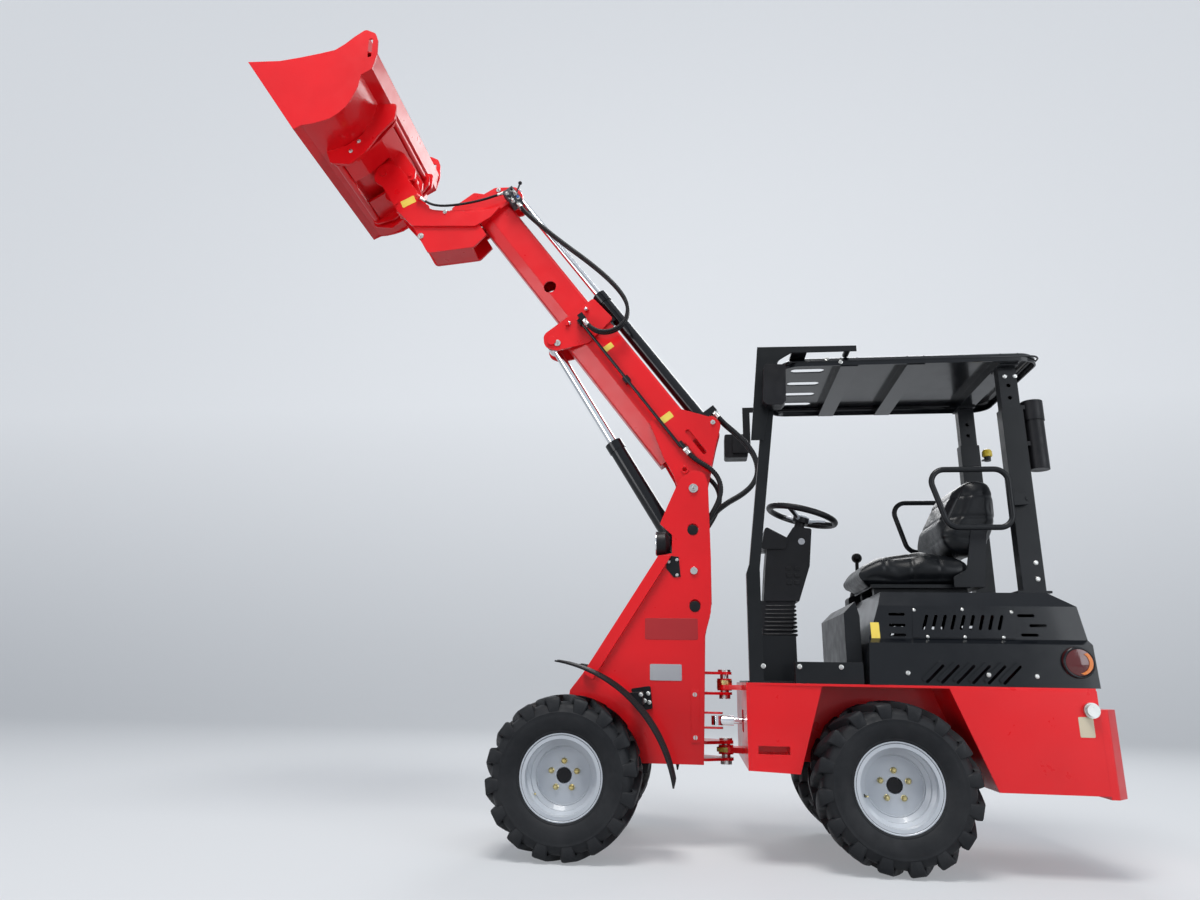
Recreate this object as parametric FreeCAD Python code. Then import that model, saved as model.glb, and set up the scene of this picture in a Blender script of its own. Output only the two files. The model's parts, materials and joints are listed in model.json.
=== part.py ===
"""Compact articulated wheel loader with a telescopic boom, shown with the boom raised and run out.

Sizes are millimetres. X runs forward from the articulation pin, Y runs to the machine's left and
Z runs up from the ground. The whole model is moved along X when it is written out, so that the
origin of the finished part lies at the middle of its length and width, on the ground.
"""
import FreeCAD, Part
import math
import os

os.makedirs("parts", exist_ok=True)
V = FreeCAD.Vector

# Clearances
MOVING_GAP = 5.0
PIN_GAP = 0.3
ARC_SHARE = 0.45
SHEET = 6.0
FLAT_ENOUGH = 1e-3
PLATE = 12.0

# Wheels
TYRE_RADIUS = 325.0
TYRE_WIDTH = 300.0
WHEEL_TRACK = 740.0
FRONT_AXLE_X = 688.0
REAR_AXLE_X = -652.0
TYRE_FACETS = 24
TYRE_BULGE_RADIUS = 240.0
TYRE_WALL = 20.0
TREAD_HALF_WIDTH = 143.0
TREAD_EDGE_RADIUS = 276.0
TREAD_ROOT_RADIUS = 297.0
TREAD_BITE = 14.0
LUG_COUNT = 16
LUG_SHOULDER_RADIUS = 318.0
LUG_WIDTH_MIDDLE = 7.0
LUG_WIDTH_EDGE = 11.0
LUG_FLANK = 1.6
LUG_LEAN = 15.0
RIM_FLANGE_RADIUS = 168.5
RIM_SEAT_RADIUS = 155.0
RIM_STEP_RADIUS = 141.0
RIM_WELL_RADIUS = 124.0
RIM_WIDTH = 260.0
DISC_OFFSET = 42.0
DISC_THICKNESS = 8.0
HUB_RADIUS = 58.0
HUB_LENGTH = 92.0
HUB_BORE_RADIUS = 32.5
STUB_RADIUS = 20.0
NUT_CIRCLE = 114.3
NUT_HOLE_RADIUS = 7.0
NUT_COUNT = 5
AXLE_TUBE_RADIUS = 38.0
AXLE_CASE_RADIUS = 84.0
AXLE_PAD_Y = (112.0, 172.0)

# Rear frame
DECK_TOP = 712.0
DECK_THICKNESS = 10.0
FRAME_HALF_WIDTH = 430.0
FRAME_FRONT_X = -76.0
SIDE_PANEL_LOW = 365.0
SPINE_HALF_WIDTH = 175.0
SPINE_LOW = 385.0
REAR_BOX_HALF_WIDTH = 450.0
REAR_BOX_END_X = -1450.0
COUNTERWEIGHT_THICKNESS = 92.0
HITCH_REACH = 20.0
TOW_PIN_RADIUS = 10.5
BONNET_TOP = 1100.0
BONNET_HALF_WIDTH = 440.0
GRILLE_SLOTS = 9
GRILLE_START = -816.0
GRILLE_PITCH = 38.0
LOUVRE_COUNT = 6
LOUVRE_START = -790.0
LOUVRE_PITCH = 60.4
VENT_SLOTS = ((-721.0, 1003.0), (-719.0, 957.0), (-717.0, 916.0),
              (-1244.0, 1001.0), (-1286.0, 960.0), (-1247.0, 921.0))
TAIL_LAMP = (-1402.0, 812.0)
TAIL_LAMP_RADIUS = 62.0
POST_X = -1312.0
POST_Y = 300.0
GUARD_Y = 357.0
GUARD_TUBE_RADIUS = 12.5
GUARD_BEND = 58.0
SEAT_HALF_WIDTH = 235.0
ROOF_FRONT_X = -290.0
ROOF_REAR_X = -1450.0
ROOF_HALF_WIDTH = 380.0
ROOF_LOW = 2143.0
ROOF_HEIGHT = 46.0

# Front frame
TOWER_HALF_WIDTH = 140.0
BOOM_PIVOT = (132.0, 1616.0)
BOOM_PIVOT_RADIUS = 22.0
LIFT_BASE = (135.0, 1216.0)
LIFT_PIN_RADIUS = 17.0

HEAD_LAMP_Y = 112.0
HEAD_LAMP_RADIUS = 58.0

# Boom, in its own directions: u runs out along the boom, n stands square on its upper side
BOOM_ANGLE = 53.2
OUTER_LENGTH = 1130.0
OUTER_HALF_WIDTH = 75.0
OUTER_LOW = -46.0
OUTER_HIGH = 216.0
BOOM_SHEET = 8.0
INNER_HALF_WIDTH = 58.0
INNER_LOW = 0.0
INNER_HIGH = 196.0
OUTER_START = 210.0
INNER_END = 1958.0
TELESCOPE_STROKE = 580.0
INNER_START = OUTER_START + 20.0 + TELESCOPE_STROKE
COLLAR_PIN = (OUTER_LENGTH - 32.0, -96.0)
COLLAR_STUDS = ((-4.0, 154.0), (-7.0, 24.0))
FOOT_SLOTS = ((115.0, 271.0, 164.0), (79.0, 221.0, 108.0))
FOOT_RING = (112.0, 32.0)
RAM_OFFSET = 272.0
RAM_FOOT_U = 223.0
RAM_HEAD_U = 2008.0
RAM_BARREL_RADIUS = 35.0
RAM_ROD_RADIUS = 20.0
RAM_BARREL_END = 1195.0

# Lift ram
LIFT_BARREL_RADIUS = 41.5
LIFT_ROD_RADIUS = 23.0
LIFT_BARREL_LENGTH = 790.0

# Bucket and quick hitch
BUCKET_HALF_WIDTH = 565.0
BUCKET_TIP = (2520.0, 3934.0)
BUCKET_HEEL = (2205.0, 3483.0)
SHELL_CENTRE = (2155.0, 3800.0)
SHELL_RADIUS = 292.0
SHELL_SHEET = 8.0
TILT_PIVOT = (1890.0, 3516.0)
LINK_PIN = (1739.0, 3514.0)
LINK_LENGTH = 220.0
LINK_ANGLE = 245.0
TILT_PIN_RADIUS = 18.0
LINK_PIN_RADIUS = 12.0
HITCH_UPPER = (1796.0, 3744.0)
HITCH_LOWER = (2075.0, 3465.0)
HITCH_TUBE_RADIUS = 19.0
EAR_Y = 330.0
NOSE_NOTCH_Y = 106.0
NOSE_NOTCH_RADIUS = 106.0

# Steering
STEERING_WHEEL_CENTRE = V(-395, 0, 1505)
STEERING_WHEEL_AXIS = V(-math.sin(math.radians(15)), 0, math.cos(math.radians(15)))
STEERING_BOSS_DEPTH = 38.0
STEER_PIN = (40.0, 110.0)
STEER_BASE = (-420.0, 90.0)
STEER_HEIGHT = 545.0
STEER_WINDOW_Y = (34.0, 166.0)
STEER_BARREL_RADIUS = 28.0
STEER_ROD_RADIUS = 14.0

REAR_MOST_X = REAR_BOX_END_X - COUNTERWEIGHT_THICKNESS - HITCH_REACH
ORIGIN_X = (BUCKET_TIP[0] + REAR_MOST_X) / 2


def outline(points, place):
    """Closed wire through corners (a, b) or (a, b, radius); place turns a, b into a point in space."""
    corners = []
    count = len(points)
    for index in range(count):
        here = V(points[index][0], points[index][1], 0)
        radius = points[index][2] if len(points[index]) > 2 else 0
        if not radius:
            corners.append((here, None, here))
            continue
        before = V(points[index - 1][0], points[index - 1][1], 0) - here
        after_point = points[(index + 1) % count]
        after = V(after_point[0], after_point[1], 0) - here
        before.normalize()
        after.normalize()
        half = before.getAngle(after) / 2
        reach = radius / math.tan(half)
        middle = before + after
        middle.normalize()
        nearest = here + middle * (radius / math.sin(half) - radius)
        corners.append((here + before * reach, nearest, here + after * reach))
    edges = []
    for index in range(count):
        start, middle, end = corners[index]
        last = corners[index - 1][2]
        if last.distanceToPoint(start) > 1e-6:
            edges.append(Part.LineSegment(place(last.x, last.y), place(start.x, start.y)).toShape())
        if middle is not None:
            arc = Part.Arc(place(start.x, start.y), place(middle.x, middle.y), place(end.x, end.y))
            edges.append(arc.toShape())
    return Part.Wire(edges)


def slab(points, place, sweep):
    """Solid made by moving an outline along a straight sweep."""
    return Part.Face(outline(points, place)).extrude(sweep)


def side_slab(points, y_from, y_to):
    """Outline in X and Z, as thick as from one Y to the other."""
    return slab(points, lambda a, b: V(a, y_from, b), V(0, y_to - y_from, 0))


def plan_slab(points, z_from, z_to):
    """Outline in X and Y, as thick as from one Z to the other."""
    return slab(points, lambda a, b: V(a, b, z_from), V(0, 0, z_to - z_from))


def cross_slab(points, x_from, x_to):
    """Outline in Y and Z, as thick as from one X to the other."""
    return slab(points, lambda a, b: V(x_from, a, b), V(x_to - x_from, 0, 0))


def box(x, y, z):
    """Block from three (low, high) pairs."""
    return Part.makeBox(x[1] - x[0], y[1] - y[0], z[1] - z[0], V(x[0], y[0], z[0]))


def rod(start, end, radius):
    """Round bar between two points."""
    return Part.makeCylinder(radius, start.distanceToPoint(end), start, end - start)


def cross_pin(point, y_from, y_to, radius):
    """Round bar along Y through a point given in X and Z."""
    return rod(V(point[0], y_from, point[1]), V(point[0], y_to, point[1]), radius)


def upright_pin(point, z_from, z_to, radius):
    """Round bar along Z through a point given in X and Y."""
    return rod(V(point[0], point[1], z_from), V(point[0], point[1], z_to), radius)


def fuse(*shapes):
    """One solid from several that touch or overlap."""
    return shapes[0].multiFuse(list(shapes[1:])).removeSplitter()


def mirrored(shape):
    """The same shape on the machine's other side."""
    return shape.mirror(V(0, 0, 0), V(0, 1, 0))


def both_sides(shape):
    """A shape and its mirror image, apart from each other."""
    return Part.makeCompound([shape, mirrored(shape)])


def turned(points, centre, axis):
    """Solid of revolution from corners (across, radius, corner radius) round an axis through centre."""
    def place(across, radius):
        return centre + axis * across + V(0, 0, radius)
    return Part.Face(outline(points, place)).revolve(centre, axis, 360)


def tube_along(points, radius, bend=None, closed=False):
    """Round bar on straight runs joined by arcs of radius bend, or as large as the runs allow."""
    count = len(points)
    corners = {}
    for index in range(count) if closed else range(1, count - 1):
        here = points[index]
        before = points[index - 1] - here
        after = points[(index + 1) % count] - here
        shorter = min(before.Length, after.Length)
        before.normalize()
        after.normalize()
        half = before.getAngle(after) / 2
        reach = bend / math.tan(half) if bend else ARC_SHARE * shorter
        corners[index] = (here, before, after, half, reach)
    pieces = []
    for index in range(count if closed else count - 1):
        following = (index + 1) % count
        start = points[index]
        end = points[following]
        if index in corners:
            start = start + corners[index][2] * corners[index][4]
        if following in corners:
            end = end + corners[following][1] * corners[following][4]
        pieces.append(rod(start, end, radius))
    for here, before, after, half, reach in corners.values():
        middle = before + after
        middle.normalize()
        centre = here + middle * (reach / math.cos(half))
        ring = Part.makeCircle(radius, here + before * reach, before)
        turn = 180 - math.degrees(2 * half)
        pieces.append(Part.Face(Part.Wire(ring)).revolve(centre, after.cross(before), turn))
    return pieces[0].multiFuse(pieces[1:])


def smallest_bend(points):
    """Radius of the tightest arc that tube_along gives an open route."""
    radii = []
    for before, here, after in zip(points, points[1:], points[2:]):
        shorter = min(here.distanceToPoint(before), here.distanceToPoint(after))
        half = (before - here).getAngle(after - here) / 2
        radii.append(ARC_SHARE * shorter * math.tan(half))
    return min(radii)


def save(name, shape):
    """Write one node, moved so that the part's origin is at the middle of its length."""
    moved = shape.copy()
    moved.translate(V(-ORIGIN_X, 0, 0))
    if moved.ShapeType == "Compound":
        solids = moved.Solids
        moved = solids[0] if len(solids) == 1 else Part.makeCompound(solids)
    moved.exportStep("parts/" + name + ".step")
    print(name, len(moved.Solids), "solid", round(moved.Volume / 1e6, 3), "litres", moved.isValid())


def unit(angle):
    """Direction in the XZ plane, angle in degrees above forward, as an (X, Z) pair."""
    return math.cos(math.radians(angle)), math.sin(math.radians(angle))


BOOM_U = unit(BOOM_ANGLE)
BOOM_N = (-BOOM_U[1], BOOM_U[0])


def boom_xz(u, n):
    """X and Z of a place on the boom."""
    x = BOOM_PIVOT[0] + u * BOOM_U[0] + n * BOOM_N[0]
    z = BOOM_PIVOT[1] + u * BOOM_U[1] + n * BOOM_N[1]
    return x, z


def boom_point(u, n, y):
    """Point in space of a place on the boom."""
    x, z = boom_xz(u, n)
    return V(x, y, z)


def boom_slab(points, y_from, y_to):
    """Outline in u and n, as thick as from one Y to the other."""
    return slab(points, lambda a, b: boom_point(a, b, y_from), V(0, y_to - y_from, 0))


def boom_section(points, u_from, u_to):
    """Outline in Y and n, run along the boom."""
    sweep = V(BOOM_U[0], 0, BOOM_U[1]) * (u_to - u_from)
    return slab(points, lambda a, b: boom_point(u_from, b, a), sweep)


# Wheels


def ring_of(count, radius, start_angle, y):
    """Points round the Y axis, count of them at one radius."""
    points = []
    for index in range(count):
        angle = math.radians(start_angle + index * 360 / count)
        points.append(V(radius * math.sin(angle), y, -radius * math.cos(angle)))
    return points


def flat_faced(rings):
    """Solid with flat faces between rings of equally many points, closed back on the first ring."""
    count = len(rings[0])
    faces = []
    for near, far in zip(rings, rings[1:] + rings[:1]):
        for index in range(count):
            after = (index + 1) % count
            a, b, c, d = near[index], near[after], far[after], far[index]
            if abs((b - a).cross(d - a).dot(c - a)) < FLAT_ENOUGH:
                parts = [(a, b, c, d)]
            elif a.distanceToPoint(c) < b.distanceToPoint(d):
                parts = [(a, b, c), (a, c, d)]
            else:
                parts = [(a, b, d), (b, c, d)]
            for corners in parts:
                faces.append(Part.Face(Part.makePolygon(list(corners) + [corners[0]])))
    solid = Part.makeSolid(Part.makeShell(faces))
    if solid.Volume < 0:
        solid.reverse()
    return solid


def make_carcass():
    """Tyre body of flat facets: beads, side walls and the tread's ground, hollow inside."""
    facets = TYRE_FACETS
    spread = 1 / math.cos(math.pi / facets)
    bead = RIM_WIDTH / 2 - SHEET - 1
    outside = [(bead - 26, RIM_SEAT_RADIUS), (bead, RIM_SEAT_RADIUS), (bead, RIM_SEAT_RADIUS + 18),
               (TYRE_WIDTH / 2, TYRE_BULGE_RADIUS), (TREAD_HALF_WIDTH, TREAD_EDGE_RADIUS)]
    inside = [(TYRE_WIDTH / 2 - TYRE_WALL, TYRE_BULGE_RADIUS), (bead - 26, RIM_SEAT_RADIUS + 18)]
    section = outside + [(-y, r) for y, r in reversed(outside)] + [(-y, r) for y, r in reversed(inside)] + inside
    rings = [ring_of(facets, r * spread, 180 / facets, y) for y, r in section]
    return flat_faced(rings)


def make_lug_row():
    """One of the two rows of slanting lugs, as a ring of teeth that lean back towards the shoulder."""
    def teeth(y, root, top, lean, width):
        points = []
        for lug in range(LUG_COUNT):
            middle = lug * 360 / LUG_COUNT + lean
            for offset, radius in ((-width / 2 - LUG_FLANK, root), (-width / 2, top),
                                   (width / 2, top), (width / 2 + LUG_FLANK, root)):
                angle = math.radians(middle + offset)
                points.append(V(radius * math.sin(angle), y, -radius * math.cos(angle)))
        return points
    crown = TYRE_RADIUS / math.cos(math.radians(LUG_WIDTH_MIDDLE / 2))
    ground = TREAD_ROOT_RADIUS
    hidden = TREAD_EDGE_RADIUS - TREAD_BITE
    return flat_faced([
        teeth(0, ground, crown, 0, LUG_WIDTH_MIDDLE),
        teeth(TREAD_HALF_WIDTH, ground, LUG_SHOULDER_RADIUS, LUG_LEAN, LUG_WIDTH_EDGE),
        teeth(TREAD_HALF_WIDTH, hidden, hidden, LUG_LEAN, LUG_WIDTH_EDGE),
        teeth(0, hidden, hidden, 0, LUG_WIDTH_MIDDLE),
    ])


def make_tyre(side, axle_x):
    """Tyre with two rows of slanting lugs, set half a pitch apart, on a hollow body."""
    near_row = make_lug_row().removeSplitter()
    far_row = near_row.mirror(V(0, 0, 0), V(0, 1, 0))
    far_row.rotate(V(0, 0, 0), V(0, 1, 0), 180 / LUG_COUNT)
    tyre = make_carcass().multiFuse([near_row, far_row]).removeSplitter()
    if side < 0:
        tyre = tyre.mirror(V(0, 0, 0), V(0, 1, 0))
    tyre.translate(V(axle_x, side * WHEEL_TRACK / 2, TYRE_RADIUS))
    return tyre


def make_rim(side, axle_x):
    """Stepped rim, flat disc with five holes, and hub with its bore."""
    centre = V(axle_x, side * WHEEL_TRACK / 2, TYRE_RADIUS)
    axis = V(0, side, 0)
    half = RIM_WIDTH / 2
    edge = half - SHEET
    seat = RIM_SEAT_RADIUS
    step = RIM_STEP_RADIUS
    well = RIM_WELL_RADIUS
    barrel = turned([
        (half, RIM_FLANGE_RADIUS), (edge, RIM_FLANGE_RADIUS), (edge, seat), (88, seat),
        (80, step), (60, step), (48, well), (-70, well), (-90, seat), (-edge, seat),
        (-edge, RIM_FLANGE_RADIUS), (-half, RIM_FLANGE_RADIUS), (-half, seat - SHEET),
        (-94, seat - SHEET), (-74, well - SHEET), (52, well - SHEET), (64, step - SHEET),
        (84, step - SHEET), (92, seat - SHEET), (half, seat - SHEET),
    ], centre, axis)
    back = DISC_OFFSET - DISC_THICKNESS
    disc = turned([(DISC_OFFSET, HUB_BORE_RADIUS), (DISC_OFFSET, well - 3), (back, well - 3),
                   (back, HUB_BORE_RADIUS)], centre, axis)
    hub = turned([(back, HUB_BORE_RADIUS), (back, HUB_RADIUS), (back - HUB_LENGTH, HUB_RADIUS),
                  (back - HUB_LENGTH, STUB_RADIUS + PIN_GAP), (back - 20, STUB_RADIUS + PIN_GAP),
                  (back - 20, HUB_BORE_RADIUS)], centre, axis)
    rim = fuse(barrel, disc, hub)
    for index in range(NUT_COUNT):
        angle = math.radians(90 + index * 360 / NUT_COUNT)
        foot = centre + V(NUT_CIRCLE / 2 * math.cos(angle), 0, NUT_CIRCLE / 2 * math.sin(angle))
        hole = rod(foot + axis * (back - 20), foot + axis * (DISC_OFFSET + 1), NUT_HOLE_RADIUS)
        rim = rim.cut(hole)
    return rim


def make_axle(axle_x, pad_top):
    """Axle with its centre case, two tubes, stub shafts and the pads that carry the frame."""
    centre = V(axle_x, 0, TYRE_RADIUS)
    hub_back = WHEEL_TRACK / 2 + DISC_OFFSET - DISC_THICKNESS - HUB_LENGTH
    end = hub_back - MOVING_GAP
    stub = hub_back + HUB_LENGTH - 24
    tube = AXLE_TUBE_RADIUS
    case = AXLE_CASE_RADIUS
    body = turned([
        (-stub, 0), (stub, 0), (stub, STUB_RADIUS), (end, STUB_RADIUS), (end, tube + 14),
        (end - 16, tube + 14), (end - 24, tube), (105, tube + 6), (70, case, 18), (-70, case, 18),
        (-105, tube + 6), (24 - end, tube), (16 - end, tube + 14), (-end, tube + 14),
        (-end, STUB_RADIUS), (-stub, STUB_RADIUS),
    ], centre, V(0, 1, 0))
    pad = box((axle_x - 45, axle_x + 45), AXLE_PAD_Y, (TYRE_RADIUS, pad_top))
    return fuse(body, pad, mirrored(pad))


# Rear frame


def make_rear_frame():
    """Spine of two side plates with cross plates, deck over it, and the bulkhead with its tongues."""
    inner = SPINE_HALF_WIDTH - PLATE
    low = SPINE_LOW
    deck_low = DECK_TOP - DECK_THICKNESS
    rear_x = REAR_BOX_END_X
    spine_side = box((rear_x, FRAME_FRONT_X), (inner, SPINE_HALF_WIDTH), (low, deck_low))
    belly = box((rear_x, -900), (-inner, inner), (low, low + PLATE))
    cross_front = box((-470, -458), (-inner, inner), (low, deck_low))
    cross_rear = box((-790, -778), (-inner, inner), (low, deck_low - 240))
    deck_plan = [(FRAME_FRONT_X, -FRAME_HALF_WIDTH), (FRAME_FRONT_X, FRAME_HALF_WIDTH),
                 (-880, REAR_BOX_HALF_WIDTH - 6), (rear_x, REAR_BOX_HALF_WIDTH - 6),
                 (rear_x, 6 - REAR_BOX_HALF_WIDTH), (-880, 6 - REAR_BOX_HALF_WIDTH)]
    deck = plan_slab(deck_plan, deck_low, DECK_TOP)
    opening = box((-1380, -640), (-inner + 10, inner - 10), (deck_low - 1, DECK_TOP + 1))
    deck = deck.cut(opening)
    bulkhead = box((FRAME_FRONT_X - PLATE, FRAME_FRONT_X), (-FRAME_HALF_WIDTH, FRAME_HALF_WIDTH),
                   (SIDE_PANEL_LOW, deck_low))
    window = box((FRAME_FRONT_X - 30, FRAME_FRONT_X + 10), STEER_WINDOW_Y, (STEER_HEIGHT - 48, STEER_HEIGHT + 48))
    bulkhead = bulkhead.cut(window)
    frame = fuse(spine_side, mirrored(spine_side), belly, cross_front, cross_rear, deck, bulkhead)
    # tongues of the articulation: height of the plate's underside, thickness, boss height
    for low_z, thick, boss_low, boss_high in ((678, 22, 674, 728), (402, 24, 394, 434)):
        tongue = plan_slab([(-120, -90), (-120, 90), (FRAME_FRONT_X, 70), (-18, 42), (30, 42, 38),
                            (30, -42, 38), (-18, -42), (FRAME_FRONT_X, -70)], low_z, low_z + thick)
        boss = upright_pin((0, 0), boss_low, boss_high, 34)
        frame = fuse(frame, tongue, boss)
        frame = frame.cut(upright_pin((0, 0), boss_low - 5, boss_high + 5, STUB_RADIUS + PIN_GAP))
    # lugs of the steering ram's base pin
    for low_z in (STEER_HEIGHT - 34, STEER_HEIGHT + 22):
        lug = plan_slab([(-460, STEER_BASE[1] - 34), (-460, STEER_BASE[1] + 34),
                         (-392, STEER_BASE[1] + 34, 26), (-392, STEER_BASE[1] - 34, 26)],
                        low_z, low_z + 12)
        frame = fuse(frame, lug)
    pin = upright_pin(STEER_BASE, STEER_HEIGHT - 44, STEER_HEIGHT + 44, 11)
    return fuse(frame, pin)


def make_side_boxes():
    """Tank boxes ahead of the rear wheels, hollow, with a step ledge and a slanted arch plate."""
    y_in = SPINE_HALF_WIDTH
    y_out = FRAME_HALF_WIDTH
    top = DECK_TOP - DECK_THICKNESS
    front = FRAME_FRONT_X - PLATE
    profile = [(front, SIDE_PANEL_LOW), (front, top), (-387, top), (-284, SIDE_PANEL_LOW - 8)]
    shell = side_slab(profile, y_in, y_out)
    inner = [(front - SHEET, SIDE_PANEL_LOW + SHEET), (front - SHEET, top - SHEET),
             (-387 + 12, top - SHEET), (-284 + 4, SIDE_PANEL_LOW + SHEET)]
    hollow = side_slab(inner, y_in + SHEET, y_out - SHEET)
    recess = box((-246, -118), (y_out - 70, y_out + 1), (430, 462))
    pocket = box((-252, -112), (y_out - 76, y_out - SHEET), (424, 468))
    shell = fuse(shell.cut(hollow), pocket).cut(recess)
    return shell


def make_rear_boxes():
    """Side boxes behind the rear wheels, open below, as wide as the counterweight."""
    y_in = SPINE_HALF_WIDTH
    y_out = REAR_BOX_HALF_WIDTH
    top = DECK_TOP - DECK_THICKNESS
    profile = [(-888, top), (-1040, 314), (REAR_BOX_END_X, 312), (REAR_BOX_END_X, top)]
    shell = side_slab(profile, y_in, y_out)
    inner = [(-888 - 12, top - SHEET), (-1040 - 12, 312 + SHEET), (REAR_BOX_END_X + SHEET, 312 + SHEET),
             (REAR_BOX_END_X + SHEET, top - SHEET)]
    return shell.cut(side_slab(inner, y_in + SHEET, y_out - SHEET))


def make_counterweight():
    """Cast slab across the rear with rounded upper corners and the towing jaw."""
    x_in = REAR_BOX_END_X
    x_out = x_in - COUNTERWEIGHT_THICKNESS
    half = REAR_BOX_HALF_WIDTH
    body = plan_slab([(x_in, -half), (x_in, half), (x_in - 30, half, 12), (x_out, half - 70, 40),
                      (x_out, 70 - half, 40), (x_in - 30, -half, 12)], 300, 632)
    jaw = plan_slab([(x_out + 30, -45), (x_out + 30, 45), (x_out - HITCH_REACH, 40, 14),
                     (x_out - HITCH_REACH, -40, 14)], 400, 480)
    slot = box((x_out - HITCH_REACH - 1, x_out + 24), (-60, 60), (424, 456))
    weight = fuse(body, jaw).cut(slot)
    # channels that let the towing pin drop in from above and out below
    for low, high in ((290, 400), (480, 640)):
        weight = weight.cut(box((x_out - 1, x_out + 24), (-24, 24), (low, high)))
    return weight.cut(upright_pin((x_out - HITCH_REACH + 24, 0), 395, 485, TOW_PIN_RADIUS))


def make_bonnet():
    """Pressed bonnet with a chamfered top, a side crease and a sloped tail, open below."""
    top = BONNET_TOP
    wide = BONNET_HALF_WIDTH

    def body(inset):
        across = [(wide - inset, DECK_TOP), (wide - 12 - inset, 882), (wide - 50 - inset, 902),
                  (wide - 68 - inset, 1040), (wide - 100 - inset, top - inset)]
        section = across + [(-y, z) for y, z in reversed(across)]
        side = [(-578 - inset, DECK_TOP - 1), (-590 - inset, 880), (-650 - inset, 1046),
                (-668 - inset, top + 1), (-1352 + inset, top + 1), (-1452 + inset, 1040),
                (-1470 + inset, 900), (-1472 + inset, DECK_TOP - 1)]
        return cross_slab(section, -1600, -500).common(side_slab(side, -wide, wide))
    shell = body(0).cut(body(SHEET))
    lamp_hole = cross_pin(TAIL_LAMP, -wide * 1.1, wide * 1.1, TAIL_LAMP_RADIUS)
    shell = shell.cut(lamp_hole)
    outside = wide + SHEET
    panel = cross_slab([(388, 906), (393, 906), (376, 1028), (371, 1028)], -1200, -770).common(
        side_slab([(-776, 905), (-788, 1030), (-1198, 1030), (-1186, 905)], 300, outside))
    openings = []
    for index in range(GRILLE_SLOTS):
        x = GRILLE_START - index * GRILLE_PITCH
        openings.append(side_slab([(x, 940, 5), (x - 22, 1002, 5), (x - 36, 1002, 5), (x - 14, 940, 5)],
                                  300, outside))
    for x, z in VENT_SLOTS:
        openings.append(side_slab([(x + 34, z - 6, 5), (x + 34, z + 6, 5), (x - 34, z + 6, 5),
                                   (x - 34, z - 6, 5)], 300, outside))
    hoods = []
    for index in range(LOUVRE_COUNT):
        x = LOUVRE_START - index * LOUVRE_PITCH
        hoods.append(side_slab([(x + 6, 738, 4), (x - 72, 812, 4), (x - 84, 800, 4), (x - 6, 726, 4)],
                               wide - 20, wide + 5))
        openings.append(side_slab([(x - 9, 727), (x - 85, 799), (x - 93, 791), (x - 17, 719)],
                                  wide - 60, outside))
    for turn in (lambda shape: shape, mirrored):
        shell = fuse(shell, turn(panel), *[turn(hood) for hood in hoods])
        shell = shell.cut([turn(opening) for opening in openings])
    return shell


def make_rops_posts():
    """Rear roll bar posts: a wide lower tube on a foot plate and a narrower upper tube."""
    foot = box((POST_X - 70, POST_X + 70), (POST_Y - 45, POST_Y + 30), (BONNET_TOP, BONNET_TOP + 10))
    wall = 5.0
    lower = box((POST_X - 47, POST_X + 47), (POST_Y - 30, POST_Y + 30), (BONNET_TOP, 1930))
    lower = lower.cut(box((POST_X - 47 + wall, POST_X + 47 - wall), (POST_Y - 30 + wall, POST_Y + 30 - wall),
                          (BONNET_TOP + 10, 1930 - wall)))
    upper = box((POST_X - 40, POST_X + 40), (POST_Y - 24, POST_Y + 24), (1930 - wall, ROOF_LOW - 4))
    upper = upper.cut(box((POST_X - 40 + wall, POST_X + 40 - wall), (POST_Y - 24 + wall, POST_Y + 24 - wall),
                          (1930, ROOF_LOW - 12)))
    cap = box((POST_X - 40, POST_X + 40), (POST_Y - 60, POST_Y + 60), (ROOF_LOW - 12, ROOF_LOW - 4))
    post = fuse(foot, lower, upper, cap)
    for z in (1985, 2045):
        post = post.cut(cross_pin((POST_X, z), POST_Y - 40, POST_Y + 40, 9))
    pivot = cross_pin((POST_X - 3, 1506), POST_Y + 30, POST_Y + 66, 8)
    return both_sides(fuse(post, pivot))


def make_roof():
    """Canopy pressed from sheet, open below, with four slots at its front and cross ribs."""
    front = ROOF_FRONT_X
    rear = ROOF_REAR_X
    half = ROOF_HALF_WIDTH
    low = ROOF_LOW
    high = ROOF_LOW + ROOF_HEIGHT

    def body(inset, z_low):
        plan = [(front - inset, half - inset, 90), (rear + inset, half - inset, 90),
                (rear + inset, inset - half, 90), (front - inset, inset - half, 90)]
        solid = plan_slab(plan, z_low, high - inset)
        rims = [edge for edge in solid.Edges if abs(edge.CenterOfMass.z - (high - inset)) < 0.01]
        return solid.makeFillet(28 - inset, rims)
    shell = body(0, low).cut(body(SHEET, low - 10))
    for y in (210, 30, -130, -290):
        slot = plan_slab([(front - 60, y + 25, 24), (front - 220, y + 25, 24),
                          (front - 220, y - 25, 24), (front - 60, y - 25, 24)], high - 20, high + 5)
        shell = shell.cut(slot)
    for x in (-600, -900, POST_X):
        rib = box((x - 40, x + 40), (SHEET - half, half - SHEET), (low - 4, high - SHEET))
        channel = box((x - 40 + SHEET, x + 40 - SHEET), (-half, half), (low + 2, high + 1))
        shell = fuse(shell, rib.cut(channel))
    return shell


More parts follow.
